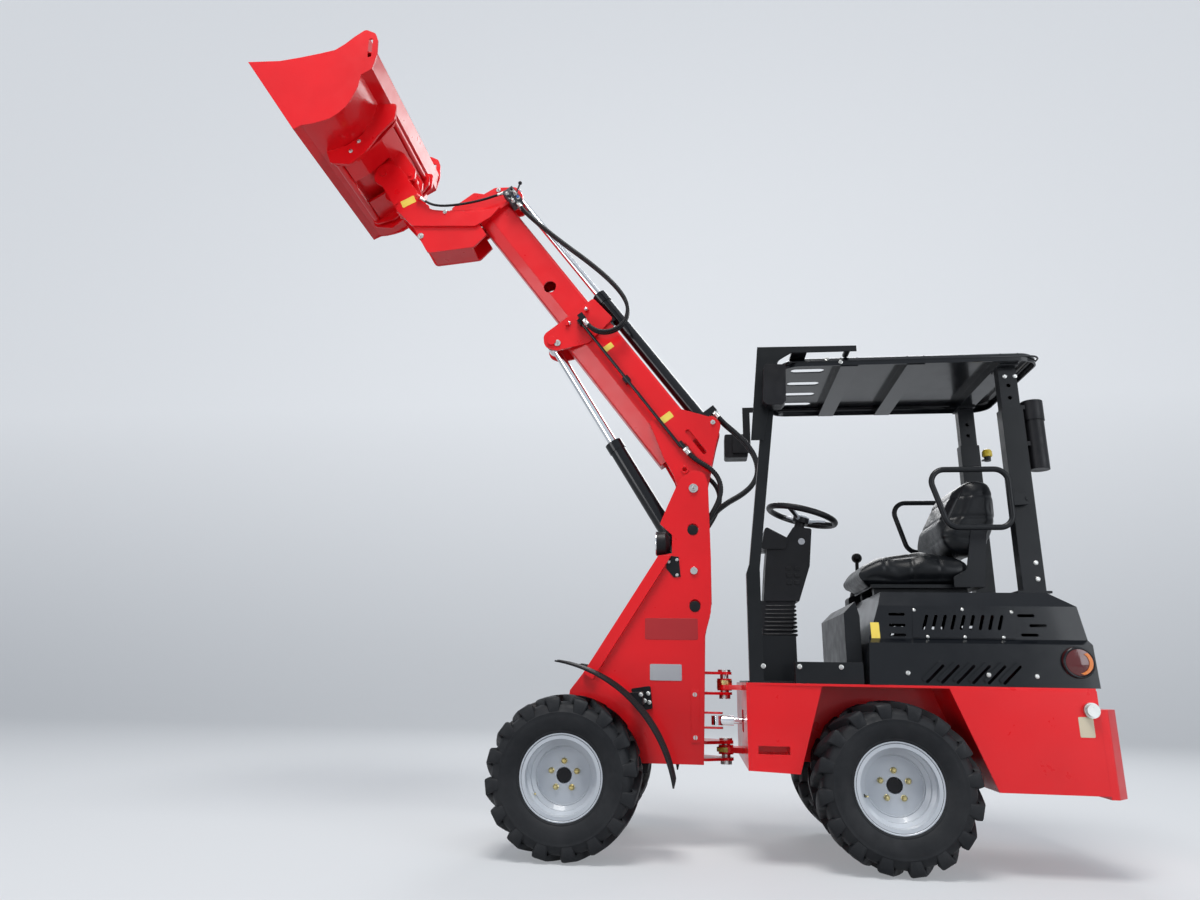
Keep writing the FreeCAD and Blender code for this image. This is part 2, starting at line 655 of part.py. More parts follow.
def make_front_post():
    """Single front post on the left: an upright box tube, then a leaning tube and its L bracket."""
    y_out = FRAME_HALF_WIDTH
    width = 48.0
    lower = side_slab([(-150, DECK_TOP), (-150, 1205), (-104, 1205), (-92, 1170), (-92, DECK_TOP)],
                      y_out - width, y_out)
    leaning = side_slab([(-150, 1190), (-104, 1190), (-190, 1930), (-236, 2120), (-272, 2120),
                         (-240, 1930)], y_out - width, y_out)
    bracket = side_slab([(-174, 2222), (-624, 2217), (-624, 2190), (-330, 2190), (-262, 2150, 40),
                         (-262, 2010), (-222, 1960), (-186, 1770), (-131, 1770)],
                        y_out, y_out + 6)
    spacer = cross_pin((-587, 2203), ROOF_HALF_WIDTH - 25, y_out, 14)
    arm = box((-400, -330), (ROOF_HALF_WIDTH - 50, y_out), (ROOF_LOW + ROOF_HEIGHT, 2200))
    foot = box((-175, -84), (y_out - width - 20, y_out), (DECK_TOP, DECK_TOP + SHEET))
    return fuse(lower, leaning, bracket, spacer, arm, foot)


def make_lamp_left():
    """Work lamp box on the left post's bracket."""
    y = FRAME_HALF_WIDTH + 6
    return side_slab([(-196, 2108, 12), (-292, 2104, 12), (-286, 1930, 12), (-270, 1912, 8),
                      (-200, 1914, 8), (-184, 1932, 12)], y, y + 74)


def make_lamp_right():
    """Lamp box at the right front with the arm that carries it from the canopy."""
    y = -FRAME_HALF_WIDTH - 6
    lamp = side_slab([(-46, 2062, 12), (-178, 2062, 12), (-174, 1926, 12), (-44, 1926, 12)], y - 92, y)
    arm = box((-190, -90), (y, y + 10), (1950, 2040))
    riser = box((-190, -150), (y, y + 10), (1990, 2200))
    reach = box((-360, -150), (y, y + 10), (2188, 2216))
    foot = box((-360, -320), (y, 50 - ROOF_HALF_WIDTH), (ROOF_LOW + ROOF_HEIGHT, 2196))
    return fuse(lamp, arm, riser, reach, foot)


def make_floor_deck():
    """Rubbered floor plate of the operator's station with its raised sill boxes."""
    floor = box((-560, -90), (-400, 362), (DECK_TOP, DECK_TOP + 8))
    sill = box((-560, -284), (362, 424), (DECK_TOP, 800))
    cowl = box((-326, -152), (-110, 130), (DECK_TOP + 8, 922))
    return fuse(floor, sill, cowl)


def make_steering_column():
    """Steering column: ribbed gaiter, tapered cowl and instrument pod."""
    half = 62.0
    gaiter = side_slab([(-180, 922), (-175, 1085), (-338, 1085), (-312, 922)], -half, half)
    cowl = side_slab([(-190, 1085), (-205, 1250), (-222, 1392), (-300, 1372), (-345, 1440, 14),
                      (-430, 1430, 10), (-412, 1250), (-356, 1085)], -half - 6, half + 6)
    pod = side_slab([(-186, 1330, 10), (-210, 1440, 12), (-316, 1382, 10), (-300, 1330, 10)],
                    -half - 16, half + 16)
    top = STEERING_WHEEL_CENTRE - STEERING_WHEEL_AXIS * (STEERING_BOSS_DEPTH + PIN_GAP)
    neck = rod(top - STEERING_WHEEL_AXIS * 70, top, 24)
    return fuse(gaiter, cowl, pod, neck)


def make_steering_wheel():
    """Steering wheel with three spokes and a boss."""
    centre = STEERING_WHEEL_CENTRE
    axis = STEERING_WHEEL_AXIS
    wheel = Part.makeTorus(160, 15, centre, axis)
    boss = rod(centre - axis * STEERING_BOSS_DEPTH, centre - axis * 8, 38)
    wheel = fuse(wheel, boss)
    sideways = V(0, 1, 0)
    forward = sideways.cross(axis)
    for angle in (30, 150, 270):
        direction = sideways * math.cos(math.radians(angle)) + forward * math.sin(math.radians(angle))
        start = centre - axis * 22 + direction * 20
        wheel = wheel.fuse(rod(start, centre - axis * 4 + direction * 156, 9))
    return wheel.removeSplitter()


def make_engine_block():
    """Engine and pump as one plain block under the bonnet."""
    block = box((-1230, -796), (-125, 125), (DECK_TOP - 260, 940))
    feet = box((-1200, -930), (-SPINE_HALF_WIDTH + PLATE, SPINE_HALF_WIDTH - PLATE),
               (SPINE_LOW + PLATE, DECK_TOP - 250))
    return fuse(block, feet)


def make_seat_base():
    """Seat box in front of the engine and the rails on the bonnet."""
    front = side_slab([(-510, DECK_TOP + 8), (-510, 1010), (-560, 1060), (-576, 1000),
                       (-576, DECK_TOP + 8)], -330, 330)
    rail = box((-1090, -680), (120, 160), (BONNET_TOP, BONNET_TOP + 34))
    pan_top = BONNET_TOP + 50
    pan = box((-1110, -660), (-200, 200), (BONNET_TOP + 34, pan_top))
    inner = SEAT_HALF_WIDTH + PIN_GAP
    bar = box((-1140, -1090), (-inner - 8, inner + 8), (BONNET_TOP + 34, pan_top))
    recliner = side_slab([(-1010, pan_top - 16), (-1140, pan_top - 16), (-1176, 1420, 24),
                          (-1110, 1420, 24), (-1070, 1210, 30), (-1010, 1180, 12)], inner, inner + 8)
    return Part.makeCompound([front, fuse(rail, mirrored(rail), pan, bar, recliner, mirrored(recliner))])


def make_seat_cushion():
    """Seat cushion with rounded corners."""
    low = BONNET_TOP + 50 + PIN_GAP
    return side_slab([(-572, 1196, 24), (-690, 1258, 60), (-900, 1290, 60), (-1110, 1250, 30),
                      (-1110, low, 20), (-600, low, 24)], -SEAT_HALF_WIDTH, SEAT_HALF_WIDTH)


def make_seat_back():
    """Seat back, leaning rearwards."""
    return side_slab([(-1000, 1292, 40), (-960, 1360, 60), (-1110, 1640, 50), (-1230, 1640, 50),
                      (-1235, 1440, 60), (-1150, 1262, 40)], -SEAT_HALF_WIDTH, SEAT_HALF_WIDTH)


def make_side_console():
    """Console beside the seat with the control lever and its gaiter."""
    console = side_slab([(-640, BONNET_TOP), (-640, 1140, 20), (-1000, 1170, 20), (-1000, BONNET_TOP)],
                        -365, -262)
    gaiter = Part.makeCone(44, 22, 90, V(-700, -312, 1140), V(0, 0, 1))
    lever = rod(V(-700, -312, 1225), V(-704, -312, 1330), 9)
    knob = Part.makeSphere(26, V(-704, -312, 1342))
    return fuse(console, gaiter, lever, knob)


def make_document_tube():
    """Tube for papers behind the left post, with its ribbed cap and clamp."""
    x = POST_X - 102
    y = POST_Y - 10
    body = rod(V(x, y, 1652), V(x, y, 1880), 42)
    cap = rod(V(x, y, 1880), V(x, y, 1972), 46)
    clamp = box((x, POST_X - 40), (POST_Y - 14, POST_Y + 14), (1932, 1952))
    clamp_low = box((x, POST_X - 47), (POST_Y - 14, POST_Y + 14), (1760, 1780))
    return fuse(body, cap, clamp, clamp_low)


def make_guard():
    """Arm guard beside the seat: a bent tube loop on a pivot lug."""
    y = GUARD_Y
    corners = [V(x, y, z) for x, z in ((-903, 1641), (-1249, 1641), (-1249, 1380), (-978, 1380))]
    ring = tube_along(corners, GUARD_TUBE_RADIUS, GUARD_BEND, True)
    lug = side_slab([(-1240, 1536), (-1322, 1532, 22), (-1350, 1506, 22), (-1322, 1480, 22),
                     (-1240, 1476)], y - 6, y + 6)
    guard = fuse(ring, lug)
    return guard.cut(cross_pin((POST_X - 3, 1506), y - 20, y + 20, 8 + PIN_GAP))


def make_tail_lamps():
    """Round tail lamps let into the bonnet's rear corners."""
    centre = V(TAIL_LAMP[0], BONNET_HALF_WIDTH, TAIL_LAMP[1])
    size = TAIL_LAMP_RADIUS
    lamp = turned([(-40, 0), (-40, size), (6, size, 3), (6, size - 8), (1, size - 8), (3, size - 26),
                   (5, 0)], centre, V(0, 1, 0))
    return both_sides(lamp)


def make_fuel_cap():
    """Filler cap on the left rear box."""
    y = REAR_BOX_HALF_WIDTH
    return fuse(cross_pin((-1418, 628), y, y + 14, 30), cross_pin((-1418, 628), y + 14, y + 26, 24))


# Front frame


def make_front_frame():
    """Tower of two side plates with sloped box tubes, cross plates and the articulation clevis."""
    out = TOWER_HALF_WIDTH
    inner = out - PLATE
    side = side_slab([
        (103, 356), (89, 920), (59, 1025), (54, 1268), (61, 1633), (74, 1690, 30), (128, 1712, 50),
        (192, 1668, 30), (216, 1624), (256, 1535), (295, 1442), (237, 1388), (238, 1300),
        (300, 1290), (636, 764), (713, 665), (748, 420), (748, 380), (560, 380), (520, 356),
    ], inner, out)
    for point, radius in ((BOOM_PIVOT, BOOM_PIVOT_RADIUS), (LIFT_BASE, LIFT_PIN_RADIUS),
                          ((137, 1417), 26), ((132, 1057), 26)):
        side = side.cut(cross_pin(point, inner - 1, out + 1, radius))
    tube = side_slab([(302, 1286), (650, 742), (606, 714), (240, 1286)], out - 25, out + 25)
    half_frame = fuse(side, tube)
    rear_plate = side_slab([(101, 400), (87, 915), (64, 1020), (76, 1020), (100, 920), (113, 400)],
                           -inner, inner)
    upper_plate = side_slab([(54, 1060), (54, 1260), (56, 1400), (68, 1400), (66, 1260), (66, 1060)],
                            -inner, inner)
    hose_bar = side_slab([(112, 1345, 4), (112, 1371, 4), (150, 1371, 4), (150, 1345, 4)], -inner, inner)
    sockets = [rod(route[-1], route[-1] + heading(route) * SOCKET_LENGTH, SOCKET_RADIUS)
               for route in (FOOT_HOSE_LEFT, FOOT_HOSE_RIGHT, RAM_HOSE_OUTER, RAM_HOSE_INNER)]
    bottom = box((103, 520), (-inner, inner), (356, 356 + PLATE))
    front_plate = side_slab([(500, 965), (626, 768), (700, 668), (690, 660), (616, 760), (490, 958)],
                            -inner, inner)
    frame = fuse(half_frame, mirrored(half_frame), rear_plate, upper_plate, bottom, front_plate, hose_bar,
                 *sockets)
    # clevis plates of the articulation: underside, thickness
    for low_z, thick in ((746, 12), (655, 12), (440, 14), (368, 12)):
        plate = plan_slab([(130, -100), (130, 100), (90, 100), (0, 44), (-34, 40, 34),
                           (-34, -40, 34), (0, -44), (90, -100)], low_z, low_z + thick)
        frame = fuse(frame, plate)
        frame = frame.cut(upright_pin((0, 0), low_z - 2, low_z + thick + 2, STUB_RADIUS))
    # ears of the steering ram's rod end
    for low_z in (STEER_HEIGHT - 36, STEER_HEIGHT + 28):
        x, y = STEER_PIN
        ear = plan_slab([(130, y - 60), (130, y + 26), (x + 6, y + 26), (x - 26, y + 24, 22),
                         (x - 26, y - 24, 22), (x + 6, y - 30)], low_z, low_z + 8)
        frame = fuse(frame, ear)
    return frame


def make_articulation_pins():
    """The two pins of the articulation with their heads, and the washers between the plates."""
    pins = []
    for low_z, high_z in ((655, 758), (368, 454)):
        shaft = upright_pin((0, 0), low_z, high_z, STUB_RADIUS)
        head = upright_pin((0, 0), high_z, high_z + 10, 30)
        nut = upright_pin((0, 0), low_z - 18, low_z, 26)
        pins.append(fuse(shaft, head, nut))
    return Part.makeCompound(pins)


def make_tower_pins():
    """Boom pivot pin and lift ram base pin, both through the tower's side plates."""
    reach = TOWER_HALF_WIDTH + 8
    boom_pin = cross_pin(BOOM_PIVOT, -reach, reach, BOOM_PIVOT_RADIUS)
    lift_pin = cross_pin(LIFT_BASE, -reach, reach, LIFT_PIN_RADIUS)
    return Part.makeCompound([boom_pin, lift_pin])


MUDGUARD_CENTRE = (816.0, 198.0)
MUDGUARD_RADIUS = 592.0


def make_mudguards():
    """Front mudguards: curved strips behind the front wheels with their cast brackets."""
    x, z = MUDGUARD_CENTRE

    def curve(radius, angle):
        return x + radius * math.cos(math.radians(angle)), z + radius * math.sin(math.radians(angle))
    inner, outer = MUDGUARD_RADIUS, MUDGUARD_RADIUS + 7
    start, middle, end = 98.5, 134.0, 170.5
    y_from, y_to = 238.0, 500.0

    def arc(radius, first, between, last):
        points = [V(p[0], y_from, p[1]) for p in (curve(radius, first), curve(radius, between),
                                                 curve(radius, last))]
        return Part.Arc(*points).toShape()
    low_arc = arc(inner, start, middle, end)
    high_arc = arc(outer, end, middle, start)
    close_end = Part.LineSegment(low_arc.Vertexes[-1].Point, high_arc.Vertexes[0].Point).toShape()
    close_start = Part.LineSegment(high_arc.Vertexes[-1].Point, low_arc.Vertexes[0].Point).toShape()
    strip = Part.Face(Part.Wire([low_arc, close_end, high_arc, close_start])).extrude(V(0, y_to - y_from, 0))
    arm = side_slab([(430, 676, 8), (340, 690, 8), (330, 590, 8), (392, 580, 8)],
                    TOWER_HALF_WIDTH, TOWER_HALF_WIDTH + 26)
    stay = side_slab([(424, 660), (370, 664), (366, 610), (388, 600)], TOWER_HALF_WIDTH + 20, y_from + 40)
    return both_sides(fuse(strip, arm, stay))


def make_head_lamps():
    """Round head lamps on stays at the front of the tower."""
    size = HEAD_LAMP_RADIUS
    lamp = turned([(0, 0), (0, size - 28), (22, size, 8), (70, size, 3), (70, size - 7), (64, size - 7),
                   (68, size - 28), (70, 0)], V(246, HEAD_LAMP_Y, 1350), V(1, 0, 0))
    stay = side_slab([(250, 1330), (250, 1270), (290, 1270), (300, 1330)], TOWER_HALF_WIDTH - 33,
                     TOWER_HALF_WIDTH - 25)
    return both_sides(fuse(lamp, stay))


# Boom


def boom_tube(half, low, high, bevel_y, bevel_n):
    """Section of a boom tube in Y and n, with bevelled lower corners."""
    return [(half, low + bevel_n, 12), (half, high, 14), (-half, high, 14), (-half, low + bevel_n, 12),
            (bevel_y - half, low, 12), (half - bevel_y, low, 12)]


def make_outer_boom():
    """Outer boom: bevelled tube with its foot plates, collar plates and slide pads."""
    tube = boom_section(boom_tube(OUTER_HALF_WIDTH, OUTER_LOW, OUTER_HIGH, 34, 84), OUTER_START, OUTER_LENGTH)
    sheet = BOOM_SHEET
    cavity = boom_section(boom_tube(OUTER_HALF_WIDTH - sheet, OUTER_LOW + sheet, OUTER_HIGH - sheet, 34, 84),
                          OUTER_START + sheet, OUTER_LENGTH + 1)
    tube = tube.cut(cavity)
    foot_out = 108.0
    foot = boom_slab([(379, 207), (252, 300, 30), (200, 334, 40), (133, 249), (-30, 60, 40),
                      (-12, -78, 44), (120, -30), (217, OUTER_LOW + 30), (420, 40)], OUTER_HALF_WIDTH, foot_out - 20)
    for u_low, u_high, n in FOOT_SLOTS:
        foot = foot.cut(boom_slab([(u_low, n - 11, 10), (u_low, n + 11, 10), (u_high, n + 11, 10),
                                   (u_high, n - 11, 10)], OUTER_HALF_WIDTH, foot_out))
    ring = cross_pin(boom_xz(*FOOT_RING), OUTER_HALF_WIDTH, foot_out - 14, 20)
    foot = fuse(foot, ring).cut(cross_pin(boom_xz(*FOOT_RING), OUTER_HALF_WIDTH, foot_out, 12))
    boss = cross_pin(BOOM_PIVOT, OUTER_HALF_WIDTH - 20, TOWER_HALF_WIDTH - PLATE - MOVING_GAP + 2, 44)
    foot = fuse(foot, boss)
    mouth = OUTER_LENGTH
    face = OUTER_HALF_WIDTH + PLATE
    collar = boom_slab([(mouth + 31, 222, 16), (mouth - 130, 236, 16), (mouth - 163, 50, 30),
                        (mouth - 90, -112, 40), (mouth - 32, -146, 46), (mouth + 26, -112, 40)],
                       OUTER_HALF_WIDTH, face)
    studs = [cross_pin(boom_xz(mouth + u, n), face, face + 14, 11) for u, n in COLLAR_STUDS]
    collar = fuse(collar, *studs)
    ram_lug = boom_slab([(180, 250, 10), (180, 320, 30), (262, 320, 30), (262, 216)], 42, OUTER_HALF_WIDTH + 2)
    half = fuse(foot, collar, ram_lug)
    boom = fuse(tube, half, mirrored(half))
    boom = boom.cut(cross_pin(BOOM_PIVOT, -TOWER_HALF_WIDTH, TOWER_HALF_WIDTH, BOOM_PIVOT_RADIUS + PIN_GAP))
    # slide pads inside the mouth, seated on the inner boom
    gap = PIN_GAP
    pads = [box_on_boom((OUTER_LENGTH - 60, OUTER_LENGTH - 2), (-34, 34), (OUTER_LOW + sheet, INNER_LOW - gap)),
            box_on_boom((OUTER_LENGTH - 60, OUTER_LENGTH - 2), (-40, 40), (INNER_HIGH + gap, OUTER_HIGH - sheet))]
    for sign in (1, -1):
        low_y, high_y = sorted((sign * (INNER_HALF_WIDTH + gap), sign * (OUTER_HALF_WIDTH - sheet)))
        pads.append(box_on_boom((OUTER_LENGTH - 60, OUTER_LENGTH - 2), (low_y, high_y), (90, 170)))
    boom = fuse(boom, *pads)
    pin_stub = OUTER_HALF_WIDTH + 12
    for sign in (1, -1):
        low_y, high_y = sorted((sign * (pin_stub - 12), sign * (pin_stub + 10)))
        boom = fuse(boom, cross_pin(boom_xz(*COLLAR_PIN), low_y, high_y, 24))
    foot_pin = cross_pin(boom_xz(RAM_FOOT_U, RAM_OFFSET), -OUTER_HALF_WIDTH - 8, OUTER_HALF_WIDTH + 8, 16)
    return fuse(boom, foot_pin)


def box_on_boom(u, y, n):
    """Block in the boom's own directions from three (low, high) pairs."""
    section = [(y[0], n[0]), (y[1], n[0]), (y[1], n[1]), (y[0], n[1])]
    return boom_section(section, u[0], u[1])


def make_extension_barrel():
    """Barrel of the extension ram on top of the outer boom, with its eye and gland."""
    start = boom_point(RAM_FOOT_U + 30, RAM_OFFSET, 0)
    end = boom_point(RAM_BARREL_END, RAM_OFFSET, 0)
    barrel = rod(start, end, RAM_BARREL_RADIUS)
    eye = cross_pin(boom_xz(RAM_FOOT_U, RAM_OFFSET), -30, 30, 32)
    gland = rod(boom_point(RAM_BARREL_END - 60, RAM_OFFSET, 0), end, RAM_BARREL_RADIUS + 5)
    saddle = box_on_boom((1010, 1040), (-30, 30), (OUTER_HIGH, RAM_OFFSET - 20))
    ports = box_on_boom((268, 300), (4, 60), (RAM_OFFSET, 356))
    shape = fuse(barrel, eye, gland, saddle, ports)
    shape = shape.cut(cross_pin(boom_xz(RAM_FOOT_U, RAM_OFFSET), -40, 40, 16))
    bore = rod(boom_point(RAM_FOOT_U + 60, RAM_OFFSET, 0), boom_point(RAM_BARREL_END + 1, RAM_OFFSET, 0),
               RAM_ROD_RADIUS + PIN_GAP)
    return shape.cut(bore)


def make_extension_rod():
    """Chromed rod of the extension ram with its eye."""
    rod_body = rod(boom_point(RAM_BARREL_END - 330, RAM_OFFSET, 0),
                   boom_point(RAM_HEAD_U - 20, RAM_OFFSET, 0), RAM_ROD_RADIUS)
    eye = cross_pin(boom_xz(RAM_HEAD_U, RAM_OFFSET), -24, 24, 32)
    shape = fuse(rod_body, eye)
    return shape.cut(cross_pin(boom_xz(RAM_HEAD_U, RAM_OFFSET), -40, 40, 14))


LEVER_PIN = (LINK_PIN[0] + LINK_LENGTH * unit(LINK_ANGLE)[0], LINK_PIN[1] + LINK_LENGTH * unit(LINK_ANGLE)[1])
LEVER_PIVOT = (LEVER_PIN[0] + TILT_PIVOT[0] - LINK_PIN[0], LEVER_PIN[1] + TILT_PIVOT[1] - LINK_PIN[1])


def make_inner_boom():
    """Inner boom: bevelled tube with the head, the cranked nose plates and the pins they hold."""
    sheet = BOOM_SHEET
    tube = boom_section(boom_tube(INNER_HALF_WIDTH, INNER_LOW, INNER_HIGH, 26, 60), INNER_START, INNER_END)
    cavity = boom_section(boom_tube(INNER_HALF_WIDTH - sheet, INNER_LOW + sheet, INNER_HIGH - sheet, 26, 60),
                          INNER_START - 1, INNER_END + 1)
    tube = tube.cut(cavity)
    tube = tube.cut(cross_pin((894, 2771), -100, 100, 34))
    nose_in, nose_out = 80.0, 92.0
    nose = side_slab([
        (1189, 3262), (1303, 3238, 60), (1507, 3252, 60), (1595, 3266, 60), (1801, 3561, 10),
        (1818, 3563, 16), (1858, 3584, 40),
        (1930, 3580, 56), (1950, 3470, 50), (1894, 3437, 40), (1790, 3272, 40), (1693, 3166, 40),
        (1326, 3147), (1240, 3200)], nose_in, nose_out)
    lobe = side_slab([(1189, 3255), (1070, 3279, 20), (1074, 3363, 40), (1110, 3416, 40),
                      (1238, 3418, 30), (1300, 3380), (1359, 3392, 20), (1482, 3300), (1480, 3240),
                      (1303, 3230)], 30, 42)
    under = side_slab([(1693, 3170), (1592, 2997, 30), (1330, 3022, 30), (1262, 3096), (1326, 3200),
                       (1500, 3220)], nose_in - 12, nose_in)
    half = fuse(nose, under)
    web_low = side_slab([(1326, 3147), (1326, 3159), (1560, 3162), (1560, 3150)], -nose_in, nose_in)
    web_under = side_slab([(1340, 3022), (1340, 3034), (1580, 3012), (1580, 3000)], 12 - nose_in, nose_in - 12)
    web_top = side_slab([(1250, 3242), (1250, 3254), (1480, 3262), (1480, 3250)], -nose_in, nose_in)
    head_plate = boom_slab([(INNER_END - 12, INNER_LOW), (INNER_END - 12, INNER_HIGH),
                            (INNER_END, INNER_HIGH), (INNER_END, INNER_LOW)], -nose_in, nose_in)
    boom = fuse(tube, half, mirrored(half), lobe, mirrored(lobe), web_low, web_under, web_top, head_plate)
    for point, radius in ((TILT_PIVOT, TILT_PIN_RADIUS), (LEVER_PIVOT, LINK_PIN_RADIUS)):
        boom = fuse(boom, cross_pin(point, -nose_out - 8, nose_out + 8, radius))
    ram_pin = cross_pin(boom_xz(RAM_HEAD_U, RAM_OFFSET), -50, 50, 14)
    last = HITCH_HOSE_ROUTE[-1]
    socket = rod(last, last + heading(HITCH_HOSE_ROUTE) * 30, HITCH_HOSE_RADIUS + 4)
    holder = cross_pin((last.x + 14, last.z + 12), nose_in, last.y, 9)
    return fuse(boom, ram_pin, socket, holder)


def make_tilt_lever():
    """Lever pair inside the nose that carries the tilt link."""
    x1, z1 = LEVER_PIVOT
    x2, z2 = LEVER_PIN
    plates = side_slab([(x1 + 24, z1 - 24, 22), (x1 + 24, z1 + 24, 22), (x2 - 24, z2 + 24, 22),
                        (x2 - 24, z2 - 24, 22)], 20, 34)
    lever = fuse(plates, mirrored(plates), cross_pin(LEVER_PIN, -34, 34, LINK_PIN_RADIUS))
    collar = cross_pin(LEVER_PIVOT, -34, 34, 22)
    lever = fuse(lever, collar)
    return lever.cut(cross_pin(LEVER_PIVOT, -60, 60, LINK_PIN_RADIUS + PIN_GAP))


def make_tilt_link():
    """Link from the lever to the quick hitch."""
    direction = unit(LINK_ANGLE)
    across = (-direction[1], direction[0])
    half = 13.0

    def corner(along, side):
        return (LINK_PIN[0] + direction[0] * along + across[0] * side,
                LINK_PIN[1] + direction[1] * along + across[1] * side)
    bar = side_slab([corner(0, half), corner(LINK_LENGTH, half), corner(LINK_LENGTH, -half),
                     corner(0, -half)], -14, 14)
    link = fuse(bar, cross_pin(LINK_PIN, -14, 14, 24), cross_pin(LEVER_PIN, -14, 14, 22))
    for point in (LINK_PIN, LEVER_PIN):
        link = link.cut(cross_pin(point, -20, 20, LINK_PIN_RADIUS + PIN_GAP))
    return link


# Hoses, pipes and the valve block at the boom's head


def heading(route):
    """Direction in which a route ends."""
    last = route[-1] - route[-2]
    last.normalize()
    return last


def side_route(points, sign=1):
    """Route from (X, Y, Z) triples, on the left or mirrored to the right."""
    return [V(x, sign * y, z) for x, y, z in points]


def boom_route(points, shift):
    """Route from (u, n, Y) triples on the boom, moved outwards by a shift."""
    return [boom_point(u, n, y + shift) for u, n, y in points]


FOOT_HOSE_RADIUS = 12.5
RAM_HOSE_RADIUS = 12.0
HEAD_HOSE_RADIUS = 10.0
HITCH_HOSE_RADIUS = 7.0
HEAD_HOSE_SPACING = 23.5
SOCKET_RADIUS = 13.0
SOCKET_LENGTH = 52.0
PIPE_RADIUS = 8.0
PIPE_Y = 102.0
PIPE_N = 86.0
PIPE_START = 215.0
FOOT_HOSE = (
    (170, 105, 1828), (139, 106, 1787), (95, 107, 1755), (46, 108, 1723), (9, 108, 1677), (-4, 108, 1621),
    (9, 108, 1563), (37, 108, 1508), (71, 108, 1456), (108, 108, 1410),
)
RAM_HOSE_START = ((268, 341, 46), (206, 341, 46))
RAM_HOSE = (
    (-78, 46, 1931), (-138, 46, 1868), (-180, 46, 1797),
    (-190, 46, 1722), (-162, 46, 1655), (-106, 46, 1606), (-36, 46, 1568), (26, 46, 1520),
    (70, 46, 1464), (103, 46, 1412),
)
HEAD_HOSE = (
    (1062, 100, 124), (997, 100, 124), (935, 145, 125), (911.5, 217.5, 125), (935, 290, 124),
    (997, 335, 122), (1085, 349, 118), (1205, 342, 112), (1350, 318, 104), (1495, 286, 96),
    (1640, 258, 88), (1760, 240, 81), (1850, 230, 76), (1900, 230, 76),
)
HITCH_HOSE = (
    (1175, 85, 3352), (1245, 87, 3327), (1338, 92, 3300), (1440, 98, 3282), (1530, 104, 3276),
    (1600, 109, 3292), (1648, 112, 3330),
)
FOOT_HOSE_LEFT = side_route(FOOT_HOSE)
FOOT_HOSE_RIGHT = side_route(FOOT_HOSE, -1)
RAM_HOSE_OUTER = boom_route(RAM_HOSE_START, 0) + side_route(RAM_HOSE)
RAM_HOSE_INNER = [point - V(0, 28, 0) for point in RAM_HOSE_OUTER]
HEAD_HOSE_INNER = boom_route(HEAD_HOSE, 0)
HEAD_HOSE_OUTER = boom_route(HEAD_HOSE, HEAD_HOSE_SPACING)
HITCH_HOSE_ROUTE = side_route(HITCH_HOSE)


def save_hose(name, route, radius):
    """Write one hose as a tube and print its length, tightest bend and how true its volume is."""
    shape = tube_along(route, radius)
    save(name, shape)
    length = sum(a.distanceToPoint(b) for a, b in zip(route, route[1:]))
    print("  runs", round(length), "mm, tightest bend", round(smallest_bend(route)), "mm,",
          "length from volume", round(shape.Volume / (math.pi * radius ** 2)), "mm")


def make_boom_pipes():
    """Steel pipes along both sides of the outer boom, their end fittings and their clamp."""
    low, high = PIPE_START, HEAD_HOSE[0][0] + 12
    pipe = rod(boom_point(low, PIPE_N, PIPE_Y), boom_point(high, PIPE_N, PIPE_Y), PIPE_RADIUS)
    first = FOOT_HOSE_LEFT[0]
    back = first - FOOT_HOSE_LEFT[1]
    back.normalize()
    fitting = rod(first, first + back * 45, SOCKET_RADIUS - 1)
    clamp = box_on_boom((655, 690), (OUTER_HALF_WIDTH, PIPE_Y + 5), (PIPE_N - 16, PIPE_N + 16))
    end_block = box_on_boom((high - 8, high + 26), (OUTER_HALF_WIDTH + PLATE, PIPE_Y + 12),
                            (PIPE_N - 14, PIPE_N + 14))
    side = fuse(pipe, fitting, clamp, end_block)
    feed = box_on_boom((high - 12, high + 26), (PIPE_Y + 10, 162), (84, 114))
    return Part.makeCompound([fuse(side, feed), mirrored(side)])


def make_valve_block():
    """Valve block on the boom's head, where the long hoses end and the hitch hose begins."""
    block = box_on_boom((HEAD_HOSE[-1][0], 2002), (52, 116), (INNER_HIGH, 262))
    first = HITCH_HOSE_ROUTE[0]
    back = first - HITCH_HOSE_ROUTE[1]
    back.normalize()
    outlet = rod(first, first + back * 44, HITCH_HOSE_RADIUS + 4)
    lever = rod(boom_point(1950, 250, 100), boom_point(1990, 310, 108), 5)
    return fuse(block, outlet, lever)


# Quick hitch and bucket


